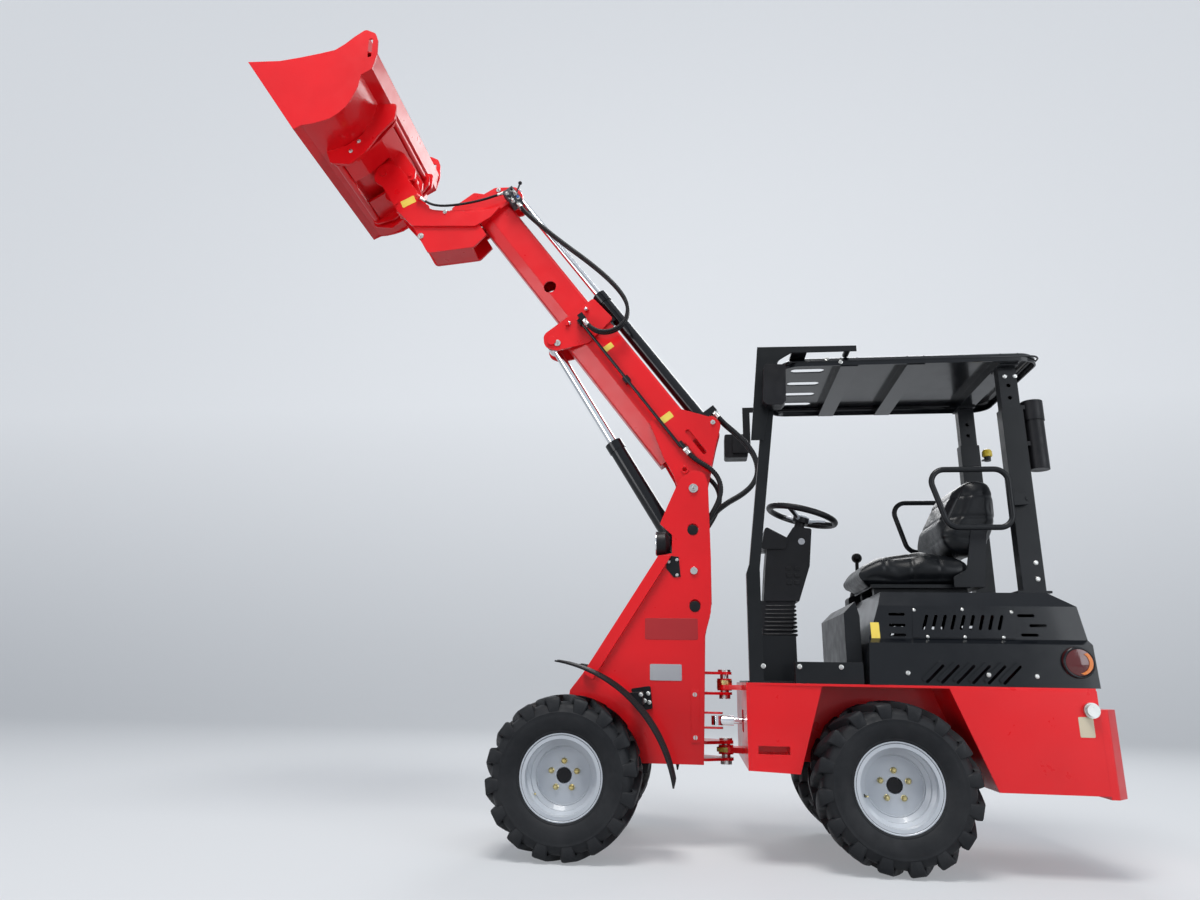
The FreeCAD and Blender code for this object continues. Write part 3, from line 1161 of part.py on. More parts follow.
def make_coupler():
    """Quick hitch: inner ears on the tilt pin, a folded back plate and outer hook plates."""
    ear = side_slab([
        (TILT_PIVOT[0] + 46, TILT_PIVOT[1] - 46, 40), (LINK_PIN[0] - 30, LINK_PIN[1] - 34, 26),
        (LINK_PIN[0] - 30, LINK_PIN[1] + 34, 26), (1786, 3660), (1846, 3700, 10), (1896, 3610, 20),
        (TILT_PIVOT[0] + 46, TILT_PIVOT[1] + 30, 30)], 56, 70)
    ear = ear.cut(cross_pin(TILT_PIVOT, 50, 80, TILT_PIN_RADIUS + PIN_GAP))
    pin = cross_pin(LINK_PIN, -76, 76, LINK_PIN_RADIUS)
    back = side_slab([(1796, 3712), (1852, 3624), (1968, 3512), (2050, 3462), (2056, 3476),
                      (1978, 3524), (1864, 3634), (1812, 3716)], 14 - EAR_Y, EAR_Y - 14)
    hook = side_slab([(1756, 3700, 20), (1764, 3784, 34), (1832, 3770, 30), (1880, 3660, 30),
                      (1990, 3550, 30), (2118, 3490, 30), (2080, 3428, 34), (1960, 3460, 30),
                      (1830, 3590, 30)], EAR_Y - 40, EAR_Y - 26)
    for point in (HITCH_UPPER, HITCH_LOWER):
        hook = hook.cut(cross_pin(point, EAR_Y - 60, EAR_Y, HITCH_TUBE_RADIUS))
    back = back.cut(cross_pin(HITCH_LOWER, -EAR_Y, EAR_Y, HITCH_TUBE_RADIUS))
    back = back.cut(cross_pin(HITCH_UPPER, -EAR_Y, EAR_Y, HITCH_TUBE_RADIUS))
    back = back.cut(cross_pin(TILT_PIVOT, -NOSE_NOTCH_Y, NOSE_NOTCH_Y, NOSE_NOTCH_RADIUS))
    back = back.cut(box((1925, 2120), (-NOSE_NOTCH_Y, NOSE_NOTCH_Y), (3400, 3560)))
    return fuse(ear, mirrored(ear), pin, back, hook, mirrored(hook))


def make_bucket():
    """Bucket: curved back, flat floor with a cutting edge, end plates, folded lip and hitch ears."""
    cx, cz = SHELL_CENTRE
    half = BUCKET_HALF_WIDTH
    radius = SHELL_RADIUS
    inner = radius - SHELL_SHEET
    floor = V(BUCKET_TIP[0] - BUCKET_HEEL[0], 0, BUCKET_TIP[1] - BUCKET_HEEL[1])
    floor.normalize()
    lift = V(-floor.z, 0, floor.x)
    heel = V(BUCKET_HEEL[0], 0, BUCKET_HEEL[1])
    tip = V(BUCKET_TIP[0], 0, BUCKET_TIP[1])

    def on_arc(size, angle):
        return V(cx + size * math.cos(math.radians(angle)), 0, cz + size * math.sin(math.radians(angle)))
    low_angle, mid_angle, high_angle = 272.0, 226.0, 180.0
    top_outer = V(cx - radius, 0, 4085)
    top_inner = V(cx - inner, 0, 4085)
    floor_in = heel + lift * SHELL_SHEET + floor * 24
    edges = [
        Part.LineSegment(tip, heel).toShape(),
        Part.LineSegment(heel, on_arc(radius, low_angle)).toShape(),
        Part.Arc(on_arc(radius, low_angle), on_arc(radius, mid_angle), on_arc(radius, high_angle)).toShape(),
        Part.LineSegment(on_arc(radius, high_angle), top_outer).toShape(),
        Part.LineSegment(top_outer, top_inner).toShape(),
        Part.LineSegment(top_inner, on_arc(inner, high_angle)).toShape(),
        Part.Arc(on_arc(inner, high_angle), on_arc(inner, mid_angle), on_arc(inner, low_angle)).toShape(),
        Part.LineSegment(on_arc(inner, low_angle), floor_in).toShape(),
        Part.LineSegment(floor_in, tip + lift * SHELL_SHEET - floor * 10).toShape(),
        Part.LineSegment(tip + lift * SHELL_SHEET - floor * 10, tip).toShape(),
    ]
    shell = Part.Face(Part.Wire(edges)).extrude(V(0, 2 * half, 0))
    shell.translate(V(0, -half, 0))
    end_plate = side_slab([
        (BUCKET_TIP[0], BUCKET_TIP[1]), (2335, 3926), (2222, 3939), (2110, 3956), (2026, 3972),
        (1974, 4006), (1922, 4051), (1864, 4092, 24), (1806, 4062, 24), (1789, 4016), (1785, 3919),
        (1805, 3833), (1866, 3797), (1872, 3753), (1885, 3691), (1907, 3636), (1930, 3600),
        (1965, 3565), (2006, 3537), (2059, 3520), (2113, 3509), (2158, 3506),
        (BUCKET_HEEL[0], BUCKET_HEEL[1])], half - 10, half)
    slot = side_slab([(1817, 4030, 10), (1840, 4030, 10), (1840, 3910, 10), (1817, 3910, 10)],
                     half - 20, half + 5)
    end_plate = end_plate.cut(slot)
    lip = side_slab([(1866, 3800), (1805, 3836), (1790, 3940), (1862, 3962), (1862, 3954),
                     (1798, 3934), (1812, 3842), (1866, 3808)], 10 - half, half - 10)
    ear = side_slab([(1748, 3793, 20), (1750, 3695, 30), (1829, 3603, 60), (1899, 3492, 60),
                     (1983, 3415, 30), (2095, 3430, 20), (2128, 3512, 10), (2010, 3538), (1930, 3602),
                     (1880, 3710), (1866, 3793)], EAR_Y - 6, EAR_Y + 6)
    ears = fuse(ear, mirrored(ear))
    tube_upper = cross_pin(HITCH_UPPER, -EAR_Y, EAR_Y, HITCH_TUBE_RADIUS)
    tube_lower = cross_pin(HITCH_LOWER, -EAR_Y, EAR_Y, HITCH_TUBE_RADIUS)
    return fuse(shell, end_plate, mirrored(end_plate), lip, ears, tube_upper, tube_lower)


# Rams


def direction_between(start, end):
    """Unit direction in X and Z between two points, and their distance."""
    dx, dz = end[0] - start[0], end[1] - start[1]
    length = math.hypot(dx, dz)
    return V(dx / length, 0, dz / length), length


def make_lift_barrel():
    """Barrel of the lift ram with its base eye and gland."""
    base = V(LIFT_BASE[0], 0, LIFT_BASE[1])
    along, length = direction_between(LIFT_BASE, boom_xz(*COLLAR_PIN))
    barrel = rod(base + along * 24, base + along * LIFT_BARREL_LENGTH, LIFT_BARREL_RADIUS)
    gland = rod(base + along * (LIFT_BARREL_LENGTH - 50), base + along * LIFT_BARREL_LENGTH,
                LIFT_BARREL_RADIUS + 4)
    eye = cross_pin(LIFT_BASE, -40, 40, 34)
    shape = fuse(barrel, gland, eye)
    shape = shape.cut(cross_pin(LIFT_BASE, -60, 60, LIFT_PIN_RADIUS + PIN_GAP))
    return shape.cut(rod(base + along * 70, base + along * (LIFT_BARREL_LENGTH + 1), LIFT_ROD_RADIUS + PIN_GAP))


def make_lift_rod():
    """Chromed rod of the lift ram with its eye, held between the collar's lobes."""
    base = V(LIFT_BASE[0], 0, LIFT_BASE[1])
    along, length = direction_between(LIFT_BASE, boom_xz(*COLLAR_PIN))
    shaft = rod(base + along * (LIFT_BARREL_LENGTH - 185), base + along * (length - 20), LIFT_ROD_RADIUS)
    eye = cross_pin(boom_xz(*COLLAR_PIN), -40, 40, 36)
    return fuse(shaft, eye).cut(cross_pin(boom_xz(*COLLAR_PIN), -60, 60, 16))


def make_steering_barrel():
    """Barrel of the steering ram inside the rear frame."""
    base = V(STEER_BASE[0], STEER_BASE[1], STEER_HEIGHT)
    along = V(STEER_PIN[0], STEER_PIN[1], STEER_HEIGHT) - base
    along.normalize()
    eye = upright_pin(STEER_BASE, STEER_HEIGHT - 20, STEER_HEIGHT + 20, 24)
    neck = rod(base + along * 14, base + along * 40, STEER_ROD_RADIUS + 3)
    barrel = rod(base + along * 36, base + along * 290, STEER_BARREL_RADIUS)
    shape = fuse(eye, neck, barrel)
    shape = shape.cut(upright_pin(STEER_BASE, STEER_HEIGHT - 40, STEER_HEIGHT + 40, 11 + PIN_GAP))
    return shape.cut(rod(base + along * 40, base + along * 300, STEER_ROD_RADIUS + PIN_GAP))


def make_steering_rod():
    """Rod of the steering ram with its long forged end."""
    base = V(STEER_BASE[0], STEER_BASE[1], STEER_HEIGHT)
    pin = V(STEER_PIN[0], STEER_PIN[1], STEER_HEIGHT)
    along = pin - base
    length = along.Length
    along.normalize()
    shaft = rod(base + along * 140, pin - along * 20, STEER_ROD_RADIUS)
    forged = rod(pin - along * 74, pin - along * 16, 22)
    eye = upright_pin(STEER_PIN, STEER_HEIGHT - 20, STEER_HEIGHT + 20, 26)
    shape = fuse(shaft, forged, eye)
    return shape.cut(upright_pin(STEER_PIN, STEER_HEIGHT - 40, STEER_HEIGHT + 40, 13))


def main():
    for end, axle_x in (("front", FRONT_AXLE_X), ("rear", REAR_AXLE_X)):
        for label, side in (("left", 1), ("right", -1)):
            save("tyre_" + end + "_" + label, make_tyre(side, axle_x))
            save("rim_" + end + "_" + label, make_rim(side, axle_x))
    save("front_axle", make_axle(FRONT_AXLE_X, 380))
    save("rear_axle", make_axle(REAR_AXLE_X, SPINE_LOW))
    save("rear_frame", make_rear_frame())
    side_box = make_side_boxes()
    save("side_boxes", both_sides(side_box))
    save("rear_boxes", both_sides(make_rear_boxes()))
    save("counterweight", make_counterweight())
    save("bonnet", make_bonnet())
    save("rops_posts", make_rops_posts())
    save("roof", make_roof())
    save("front_post", make_front_post())
    save("lamp_left", make_lamp_left())
    save("lamp_right", make_lamp_right())
    save("floor_deck", make_floor_deck())
    save("steering_column", make_steering_column())
    save("steering_wheel", make_steering_wheel())
    save("engine_block", make_engine_block())
    save("seat_base", make_seat_base())
    save("seat_cushion", make_seat_cushion())
    save("seat_back", make_seat_back())
    save("side_console", make_side_console())
    save("document_tube", make_document_tube())
    save("guard_left", make_guard())
    save("guard_right", mirrored(make_guard()))
    save("tail_lamps", make_tail_lamps())
    save("fuel_cap", make_fuel_cap())
    save("front_frame", make_front_frame())
    save("articulation_pins", make_articulation_pins())
    save("tower_pins", make_tower_pins())
    save("mudguards", make_mudguards())
    save("head_lamps", make_head_lamps())
    save("outer_boom", make_outer_boom())
    save("extension_barrel", make_extension_barrel())
    save("extension_rod", make_extension_rod())
    save("inner_boom", make_inner_boom())
    save("boom_pipes", make_boom_pipes())
    save("valve_block", make_valve_block())
    save_hose("hose_foot_left", FOOT_HOSE_LEFT, FOOT_HOSE_RADIUS)
    save_hose("hose_foot_right", FOOT_HOSE_RIGHT, FOOT_HOSE_RADIUS)
    save_hose("hose_ram_outer", RAM_HOSE_OUTER, RAM_HOSE_RADIUS)
    save_hose("hose_ram_inner", RAM_HOSE_INNER, RAM_HOSE_RADIUS)
    save_hose("hose_head_inner", HEAD_HOSE_INNER, HEAD_HOSE_RADIUS)
    save_hose("hose_head_outer", HEAD_HOSE_OUTER, HEAD_HOSE_RADIUS)
    save_hose("hose_hitch", HITCH_HOSE_ROUTE, HITCH_HOSE_RADIUS)
    save("tilt_lever", make_tilt_lever())
    save("tilt_link", make_tilt_link())
    save("coupler", make_coupler())
    save("bucket", make_bucket())
    save("lift_barrel", make_lift_barrel())
    save("lift_rod", make_lift_rod())
    save("steering_barrel", make_steering_barrel())
    save("steering_rod", make_steering_rod())


main()
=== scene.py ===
# %% [markdown]
# A compact articulated wheel loader stands with its telescopic boom raised. The solid parts come from the CAD
# model and stay where they are. This script gives them paint, rubber and metal, and adds what is too fine for
# the CAD model: bent hoses, tyre lugs with round edges, bolts, lenses, blank labels and a padded seat.

# %% Load the CAD model as a fixed frame
import json
import math

import bmesh
import bpy
from mathutils import Matrix, Vector
from mathutils.bvhtree import BVHTree
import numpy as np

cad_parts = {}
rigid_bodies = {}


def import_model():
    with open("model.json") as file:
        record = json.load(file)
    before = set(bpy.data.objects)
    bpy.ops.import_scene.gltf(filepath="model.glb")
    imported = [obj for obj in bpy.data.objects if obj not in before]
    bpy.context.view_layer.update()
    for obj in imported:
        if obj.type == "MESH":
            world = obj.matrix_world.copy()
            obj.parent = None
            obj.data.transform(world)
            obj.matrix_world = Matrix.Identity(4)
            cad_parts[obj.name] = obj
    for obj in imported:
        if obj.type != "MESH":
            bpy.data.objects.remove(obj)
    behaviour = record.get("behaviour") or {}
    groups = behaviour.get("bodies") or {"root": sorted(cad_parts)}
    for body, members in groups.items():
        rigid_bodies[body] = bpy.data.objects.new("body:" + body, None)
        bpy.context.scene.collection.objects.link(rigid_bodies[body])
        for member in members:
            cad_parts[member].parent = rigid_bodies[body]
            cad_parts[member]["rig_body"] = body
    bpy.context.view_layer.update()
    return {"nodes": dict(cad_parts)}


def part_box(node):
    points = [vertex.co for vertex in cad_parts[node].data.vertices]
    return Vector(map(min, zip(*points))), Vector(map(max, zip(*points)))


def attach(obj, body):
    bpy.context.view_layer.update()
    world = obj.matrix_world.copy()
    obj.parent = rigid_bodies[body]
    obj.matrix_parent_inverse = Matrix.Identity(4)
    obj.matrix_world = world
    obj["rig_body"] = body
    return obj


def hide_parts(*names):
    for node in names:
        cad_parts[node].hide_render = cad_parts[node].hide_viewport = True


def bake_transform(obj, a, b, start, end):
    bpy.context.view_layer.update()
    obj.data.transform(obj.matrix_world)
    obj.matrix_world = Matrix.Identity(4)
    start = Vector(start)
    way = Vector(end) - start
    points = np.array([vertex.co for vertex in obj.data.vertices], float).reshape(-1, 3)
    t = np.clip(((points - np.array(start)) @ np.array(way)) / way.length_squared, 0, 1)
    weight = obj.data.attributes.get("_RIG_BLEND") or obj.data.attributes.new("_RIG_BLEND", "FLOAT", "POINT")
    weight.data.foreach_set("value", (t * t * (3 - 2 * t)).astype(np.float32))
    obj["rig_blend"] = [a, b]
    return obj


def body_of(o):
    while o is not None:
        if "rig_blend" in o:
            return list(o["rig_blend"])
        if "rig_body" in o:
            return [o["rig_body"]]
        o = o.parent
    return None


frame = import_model()
nodes = frame["nodes"]

# %% Helpers for objects
SIDES = ((1, "left"), (-1, "right"))


def new_object(name, data):
    """Object in the scene that holds some data."""
    obj = bpy.data.objects.new(name, data)
    bpy.context.scene.collection.objects.link(obj)
    return obj


def evaluated_mesh(obj):
    """New mesh of what an object's curve or modifiers make."""
    bpy.context.view_layer.update()
    return bpy.data.meshes.new_from_object(obj.evaluated_get(bpy.context.evaluated_depsgraph_get()))


# %% [markdown]
# The photograph was taken from a low place, looking up a little. The camera is set by where it stands, how
# far it is turned and tilted, and its focal length in pixels of the 1200 x 900 picture. Three unit vectors
# give it its turn: the direction it looks, and its right and up after a small roll.

# %% Camera
IMAGE_WIDTH = 1200
SENSOR_WIDTH = 36
FOCAL_PIXELS = 814.5
CAMERA_PLACE = Vector((-0.35, 4.03, 0.712))
TILT_UP = math.radians(15.76)
TURN = math.radians(6.8)
ROLL = math.radians(1.01)


def make_camera():
    """Camera at the photograph's place, with no shift and no depth of field."""
    level = math.cos(TILT_UP)
    forward = Vector((level * math.sin(TURN), -level * math.cos(TURN), math.sin(TILT_UP)))
    level_right = Vector((-math.cos(TURN), -math.sin(TURN), 0))
    level_up = level_right.cross(forward)
    right = math.cos(ROLL) * level_right + math.sin(ROLL) * level_up
    up = math.cos(ROLL) * level_up - math.sin(ROLL) * level_right
    data = bpy.data.cameras.new("camera")
    data.sensor_width = SENSOR_WIDTH
    data.lens = FOCAL_PIXELS * SENSOR_WIDTH / IMAGE_WIDTH
    camera = new_object("camera", data)
    turned_by = Matrix((right, up, -forward)).transposed().to_4x4()
    camera.matrix_world = Matrix.Translation(CAMERA_PLACE) @ turned_by
    bpy.context.scene.camera = camera
    return camera


print("camera lens, mm:", round(make_camera().data.lens, 2))

# %% [markdown]
# Materials are built from nodes. Small helpers keep each recipe short: they add a node, feed its inputs, make
# a noise on Object coordinates, stretch a number to a range and drift between two near shades.

# %% Helpers for materials
MIX_SHARE, MIX_FIRST, MIX_SECOND, MIX_RESULT = 0, 6, 7, 2


def new_material(name):
    """Material with a principled shader, its node tree and the shader."""
    material = bpy.data.materials.new(name)
    material.use_nodes = True
    tree = material.node_tree
    return material, tree, tree.nodes["Principled BSDF"]


def feed(tree, node, **inputs):
    """Set a node's inputs by value, or link them where the value is a socket."""
    for key, value in inputs.items():
        socket = node.inputs[key.replace("_", " ")]
        if isinstance(value, bpy.types.NodeSocket):
            tree.links.new(value, socket)
        else:
            socket.default_value = value


def add(tree, kind, settings=None, **inputs):
    """Node of a kind with its settings and inputs."""
    node = tree.nodes.new(kind)
    for key, value in (settings or {}).items():
        setattr(node, key, value)
    feed(tree, node, **inputs)
    return node


def object_place(tree):
    """Object coordinates."""
    return add(tree, "ShaderNodeTexCoord").outputs["Object"]


def noise(tree, scale, detail=3.0, roughness=0.5):
    """Noise on Object coordinates, with features of about 1 / scale metres."""
    return add(tree, "ShaderNodeTexNoise", Vector=object_place(tree), Scale=scale, Detail=detail,
               Roughness=roughness).outputs["Fac"]


def spread(tree, value, low, high, to_low=0.0, to_high=1.0):
    """Number stretched from the range low to high onto the range to_low to to_high."""
    return add(tree, "ShaderNodeMapRange", Value=value, From_Min=low, From_Max=high, To_Min=to_low,
               To_Max=to_high).outputs["Result"]


def mix_colour(tree, share, first, second):
    """Colour between two colours, by a socket with the second one's share."""
    node = add(tree, "ShaderNodeMix", {"data_type": "RGBA"})
    tree.links.new(share, node.inputs[MIX_SHARE])
    node.inputs[MIX_FIRST].default_value = (*first, 1.0)
    node.inputs[MIX_SECOND].default_value = (*second, 1.0)
    return node.outputs[MIX_RESULT]


def two_shades(tree, scale, detail, colour, shade):
    """Colour that drifts between two near shades."""
    return mix_colour(tree, spread(tree, noise(tree, scale, detail), 0.35, 0.65), colour, shade)


def uneven(tree, share, low, high):
    """Roughness between low and high, by a noise that stays near its middle."""
    return spread(tree, share, 0.3, 0.7, low, high)


def rounded_bump(tree, shader, height, strength, distance, radius=0.002):
    """Fine relief over edges that look rounded, so that they catch the light as real edges do."""
    edge = add(tree, "ShaderNodeBevel", {"samples": 4}, Radius=radius)
    bump = add(tree, "ShaderNodeBump", Height=height, Strength=strength, Distance=distance,
               Normal=edge.outputs["Normal"])
    feed(tree, shader, Normal=bump.outputs["Normal"])


# %% [markdown]
# Sprayed paint is a colour under a clear gloss. It has a faint orange peel, and its colour shifts a little
# over a large panel. The red is vivid, the bonnet and roof are deep gloss black, and the frames are duller.

# %% Paint


def make_paint(name, colour, shade, roughness, coat, peel=0.12, shine=0.5):
    """Sprayed paint: two near shades, a faint orange peel and a clear coat."""
    material, tree, shader = new_material(name)
    feed(tree, shader, Base_Color=two_shades(tree, 2.2, 2, colour, shade), Specular_IOR_Level=shine,
         Roughness=uneven(tree, noise(tree, 14, 4), roughness * 0.85, roughness * 1.25),
         Coat_Weight=coat, Coat_Roughness=0.06)
    rounded_bump(tree, shader, noise(tree, 160, 3), peel, 0.0006)
    return material


red_paint = make_paint("red_paint", (0.76, 0.004, 0.009), (0.68, 0.003, 0.007), 0.32, 0.22, 0.03, 0.35)
gloss_black = make_paint("gloss_black", (0.003, 0.004, 0.006), (0.005, 0.006, 0.008), 0.2, 0.2, 0.05, 0.25)
satin_black = make_paint("satin_black", (0.004, 0.005, 0.006), (0.007, 0.008, 0.01), 0.36, 0.06, 0.08, 0.22)
rim_silver = make_paint("rim_silver", (0.5, 0.53, 0.57), (0.43, 0.46, 0.5), 0.38, 0.3)
print("paints made")

# %% Plastic, rubber and vinyl


def make_grained(name, colour, shade, roughness, grain_scale, grain_depth):
    """Moulded or pressed skin: two near shades and a fine leather-like grain."""
    material, tree, shader = new_material(name)
    feed(tree, shader, Base_Color=two_shades(tree, 7, 4, colour, shade), Specular_IOR_Level=0.22,
         Roughness=uneven(tree, noise(tree, 30, 4), roughness * 0.8, min(1, roughness * 1.2)))
    cells = add(tree, "ShaderNodeTexVoronoi", Vector=object_place(tree), Scale=grain_scale)
    rounded_bump(tree, shader, cells.outputs["Distance"], 0.3, grain_depth)
    return material


black_plastic = make_grained("black_plastic", (0.005, 0.005, 0.006), (0.009, 0.009, 0.011), 0.42, 700, 0.0004)
tyre_rubber = make_grained("tyre_rubber", (0.008, 0.009, 0.011), (0.016, 0.017, 0.019), 0.58, 420, 0.0006)
seat_vinyl = make_grained("seat_vinyl", (0.004, 0.005, 0.006), (0.008, 0.009, 0.011), 0.34, 520, 0.0005)

# %% Bare and plated metal


def make_metal(name, colour, shade, roughness):
    """Bare or plated metal whose gloss varies a little."""
    material, tree, shader = new_material(name)
    cloud = noise(tree, 60, 4, 0.6)
    feed(tree, shader, Metallic=1.0, Base_Color=two_shades(tree, 9, 3, colour, shade),
         Roughness=uneven(tree, cloud, roughness * 0.7, roughness * 1.4))
    rounded_bump(tree, shader, cloud, 0.08, 0.0004, 0.001)
    return material


chrome = make_metal("chrome", (0.82, 0.83, 0.85), (0.76, 0.77, 0.79), 0.1)
bright_zinc = make_metal("bright_zinc", (0.62, 0.62, 0.6), (0.52, 0.52, 0.5), 0.32)
yellow_zinc = make_metal("yellow_zinc", (0.66, 0.52, 0.2), (0.55, 0.5, 0.28), 0.3)
engine_iron = make_metal("engine_iron", (0.1, 0.1, 0.11), (0.06, 0.06, 0.07), 0.6)
print("metals made")

# %% [markdown]
# Rubber hose, blank labels, lamp lenses and a few caps have finishes of their own. A CAD node keeps its shape
# and gets a finish by its material slot in the record, and each finish that this script adds is mapped to a slot.

# %% More finishes
hose_rubber = make_grained("hose_rubber", (0.006, 0.006, 0.007), (0.011, 0.011, 0.013), 0.38, 300, 0.0003)
label_yellow = make_paint("label_yellow", (0.86, 0.66, 0.1), (0.8, 0.58, 0.08), 0.4, 0.25)
label_beige = make_paint("label_beige", (0.6, 0.52, 0.38), (0.54, 0.46, 0.33), 0.45, 0.2)
label_grey = make_paint("label_grey", (0.42, 0.43, 0.45), (0.36, 0.37, 0.4), 0.38, 0.3)
label_red = make_paint("label_red", (0.4, 0.008, 0.012), (0.36, 0.006, 0.01), 0.45, 0.1)
bush_green = make_paint("bush_green", (0.5, 0.52, 0.08), (0.42, 0.46, 0.06), 0.4, 0.2)
cap_blue = make_paint("cap_blue", (0.02, 0.12, 0.42), (0.02, 0.09, 0.34), 0.35, 0.2)
cap_yellow = make_paint("cap_yellow", (0.8, 0.6, 0.04), (0.72, 0.52, 0.04), 0.38, 0.2)


def make_lens(name, colour, clear):
    """Moulded lamp lens with rows of small prisms."""
    material, tree, shader = new_material(name)
    prisms = add(tree, "ShaderNodeTexVoronoi", {"feature": "F1", "distance": "CHEBYCHEV"},
                 Vector=object_place(tree), Scale=160, Randomness=0.0)
    bump = add(tree, "ShaderNodeBump", Height=prisms.outputs["Distance"], Strength=0.35, Distance=0.001)
    feed(tree, shader, Base_Color=(*colour, 1), Roughness=0.08, Transmission_Weight=clear, Coat_Weight=0.5,
         Normal=bump.outputs["Normal"])
    return material


lens_red = make_lens("lens_red", (0.1, 0.004, 0.004), 0.1)
lens_amber = make_lens("lens_amber", (0.85, 0.22, 0.02), 0.2)
lens_clear = make_lens("lens_clear", (0.8, 0.82, 0.84), 0.35)

# %% Finish each CAD node
FINISH_OF_SLOT = {
    "red_paint": red_paint, "black_gloss": gloss_black, "black_satin": satin_black, "chrome": chrome,
    "black_plastic": black_plastic, "zinc": bright_zinc, "engine_iron": engine_iron, "rim_paint": rim_silver,
    "tyre": tyre_rubber, "seat_vinyl": seat_vinyl, "lamp_lens": lens_red, "hose_rubber": hose_rubber,
}
PLAIN_FINISHES = (label_yellow, label_beige, label_grey, label_red, bush_green, cap_blue, cap_yellow)
SLOT_OF_MATERIAL = {material.name: slot for slot, material in FINISH_OF_SLOT.items()}
SLOT_OF_MATERIAL.update({m.name: "lamp_lens" for m in (lens_amber, lens_clear)})
SLOT_OF_MATERIAL.update({m.name: "black_plastic" for m in PLAIN_FINISHES})
SLOT_OF_MATERIAL[yellow_zinc.name] = "zinc"
for obj in nodes.values():
    slot = obj.data.materials[0].name.split(".")[0]
    obj.data.materials.clear()
    obj.data.materials.append(FINISH_OF_SLOT[slot])
nodes["boom_pipes"].data.materials[0] = gloss_black
nodes["valve_block"].data.materials[0] = engine_iron
print("finishes given:", len(nodes))

# %% [markdown]
# Places are written in millimetres from the machine's steering joint, as on a drawing, and turned into metres
# in the model's frame here. A place on the boom is given along it (u), square to its upper side (n), and
# sideways.

# %% Places on the machine
MILLIMETRE = 0.001
JOINT_TO_MIDDLE = 479.0
BOOM_FOOT = (132.0, 1616.0)
BOOM_ANGLE = math.radians(53.2)
BOOM_ALONG = Vector((math.cos(BOOM_ANGLE), 0, math.sin(BOOM_ANGLE)))
BOOM_UP = Vector((-math.sin(BOOM_ANGLE), 0, math.cos(BOOM_ANGLE)))
LEFT = Vector((0, 1, 0))
UP = Vector((0, 0, 1))
AHEAD = Vector((1, 0, 0))
QUARTERS = ((1, 1), (-1, 1), (-1, -1), (1, -1))


def at(x, y, z):
    """Point in the model's frame from millimetres ahead, left and up of the steering joint's ground point."""
    return Vector((x - JOINT_TO_MIDDLE, y, z)) * MILLIMETRE


def on_boom(u, n, y):
    """Point in the model's frame from a place on the boom."""
    foot = at(BOOM_FOOT[0], y, BOOM_FOOT[1])
    return foot + (BOOM_ALONG * u + BOOM_UP * n) * MILLIMETRE


print("boom foot at", [round(c, 3) for c in on_boom(0, 0, 0)])

# %% [markdown]
# Most small parts are turned, bent or cut from plate, so three shape makers do nearly all of them: one spins
# a profile round an axis, one pushes an outline straight, and one runs a round section along a line. Edges
# sharper than 35 degrees stay crisp, and the rest are shaded smooth.

# %% Shape makers
SHARP_ANGLE = math.radians(35)


def circle_angles(count):
    """Even angles round a circle."""
    return [2 * math.pi * k / count for k in range(count)]


def ring_line(centre, axis, radius, steps=48):
    """Points of a circle round an axis."""
    axis = Vector(axis).normalized()
    side = axis.orthogonal().normalized()
    other = axis.cross(side)
    return [centre + (side * math.cos(a) + other * math.sin(a)) * radius for a in circle_angles(steps)]


def add_turned(bm, profile, centre, axis, sides=24):
    """Spin (along, radius) pairs round an axis. A radius of zero closes that end."""
    axis = Vector(axis).normalized()
    rings = []
    for along, radius in profile:
        middle = Vector(centre) + axis * along
        circle = ring_line(middle, axis, radius, sides) if radius else [middle]
        rings.append([bm.verts.new(p) for p in circle])
    for near, far in zip(rings, rings[1:]):
        for k in range(sides):
            loop = (near[k % len(near)], near[(k + 1) % len(near)], far[(k + 1) % len(far)],
                    far[k % len(far)])
            corners = [v for i, v in enumerate(loop) if v not in loop[:i]]
            if len(corners) > 2:
                bm.faces.new(corners)


def add_pushed(bm, outline, push):
    """Push a closed outline along a vector."""
    low = [bm.verts.new(p) for p in outline]
    high = [bm.verts.new(p + push) for p in outline]
    bm.faces.new(list(reversed(low)))
    bm.faces.new(high)
    for k in range(len(outline)):
        after = (k + 1) % len(outline)
        bm.faces.new((low[k], low[after], high[after], high[k]))


def add_tube(bm, line, radius, sides=12, closed=False):
    """Run a round section along a line of points. radius is a number or a function of place and angle."""
    count = len(line)
    across = None
    rings = []
    for k in range(count):
        before = line[k - 1] if k or closed else line[k]
        after = line[(k + 1) % count] if k < count - 1 or closed else line[k]
        ahead = (after - before).normalized()
        across = across - ahead * across.dot(ahead) if across else ahead.orthogonal()
        across.normalize()
        other = ahead.cross(across)
        ring = []
        for a in circle_angles(sides):
            size = radius(k, a) if callable(radius) else radius
            ring.append(bm.verts.new(line[k] + (across * math.cos(a) + other * math.sin(a)) * size))
        rings.append(ring)
    for near, far in zip(rings, rings[1:] + (rings[:1] if closed else [])):
        for j in range(sides):
            after = (j + 1) % sides
            bm.faces.new((near[j], near[after], far[after], far[j]))
    if not closed:
        bm.faces.new(list(reversed(rings[0])))
        bm.faces.new(rings[-1])


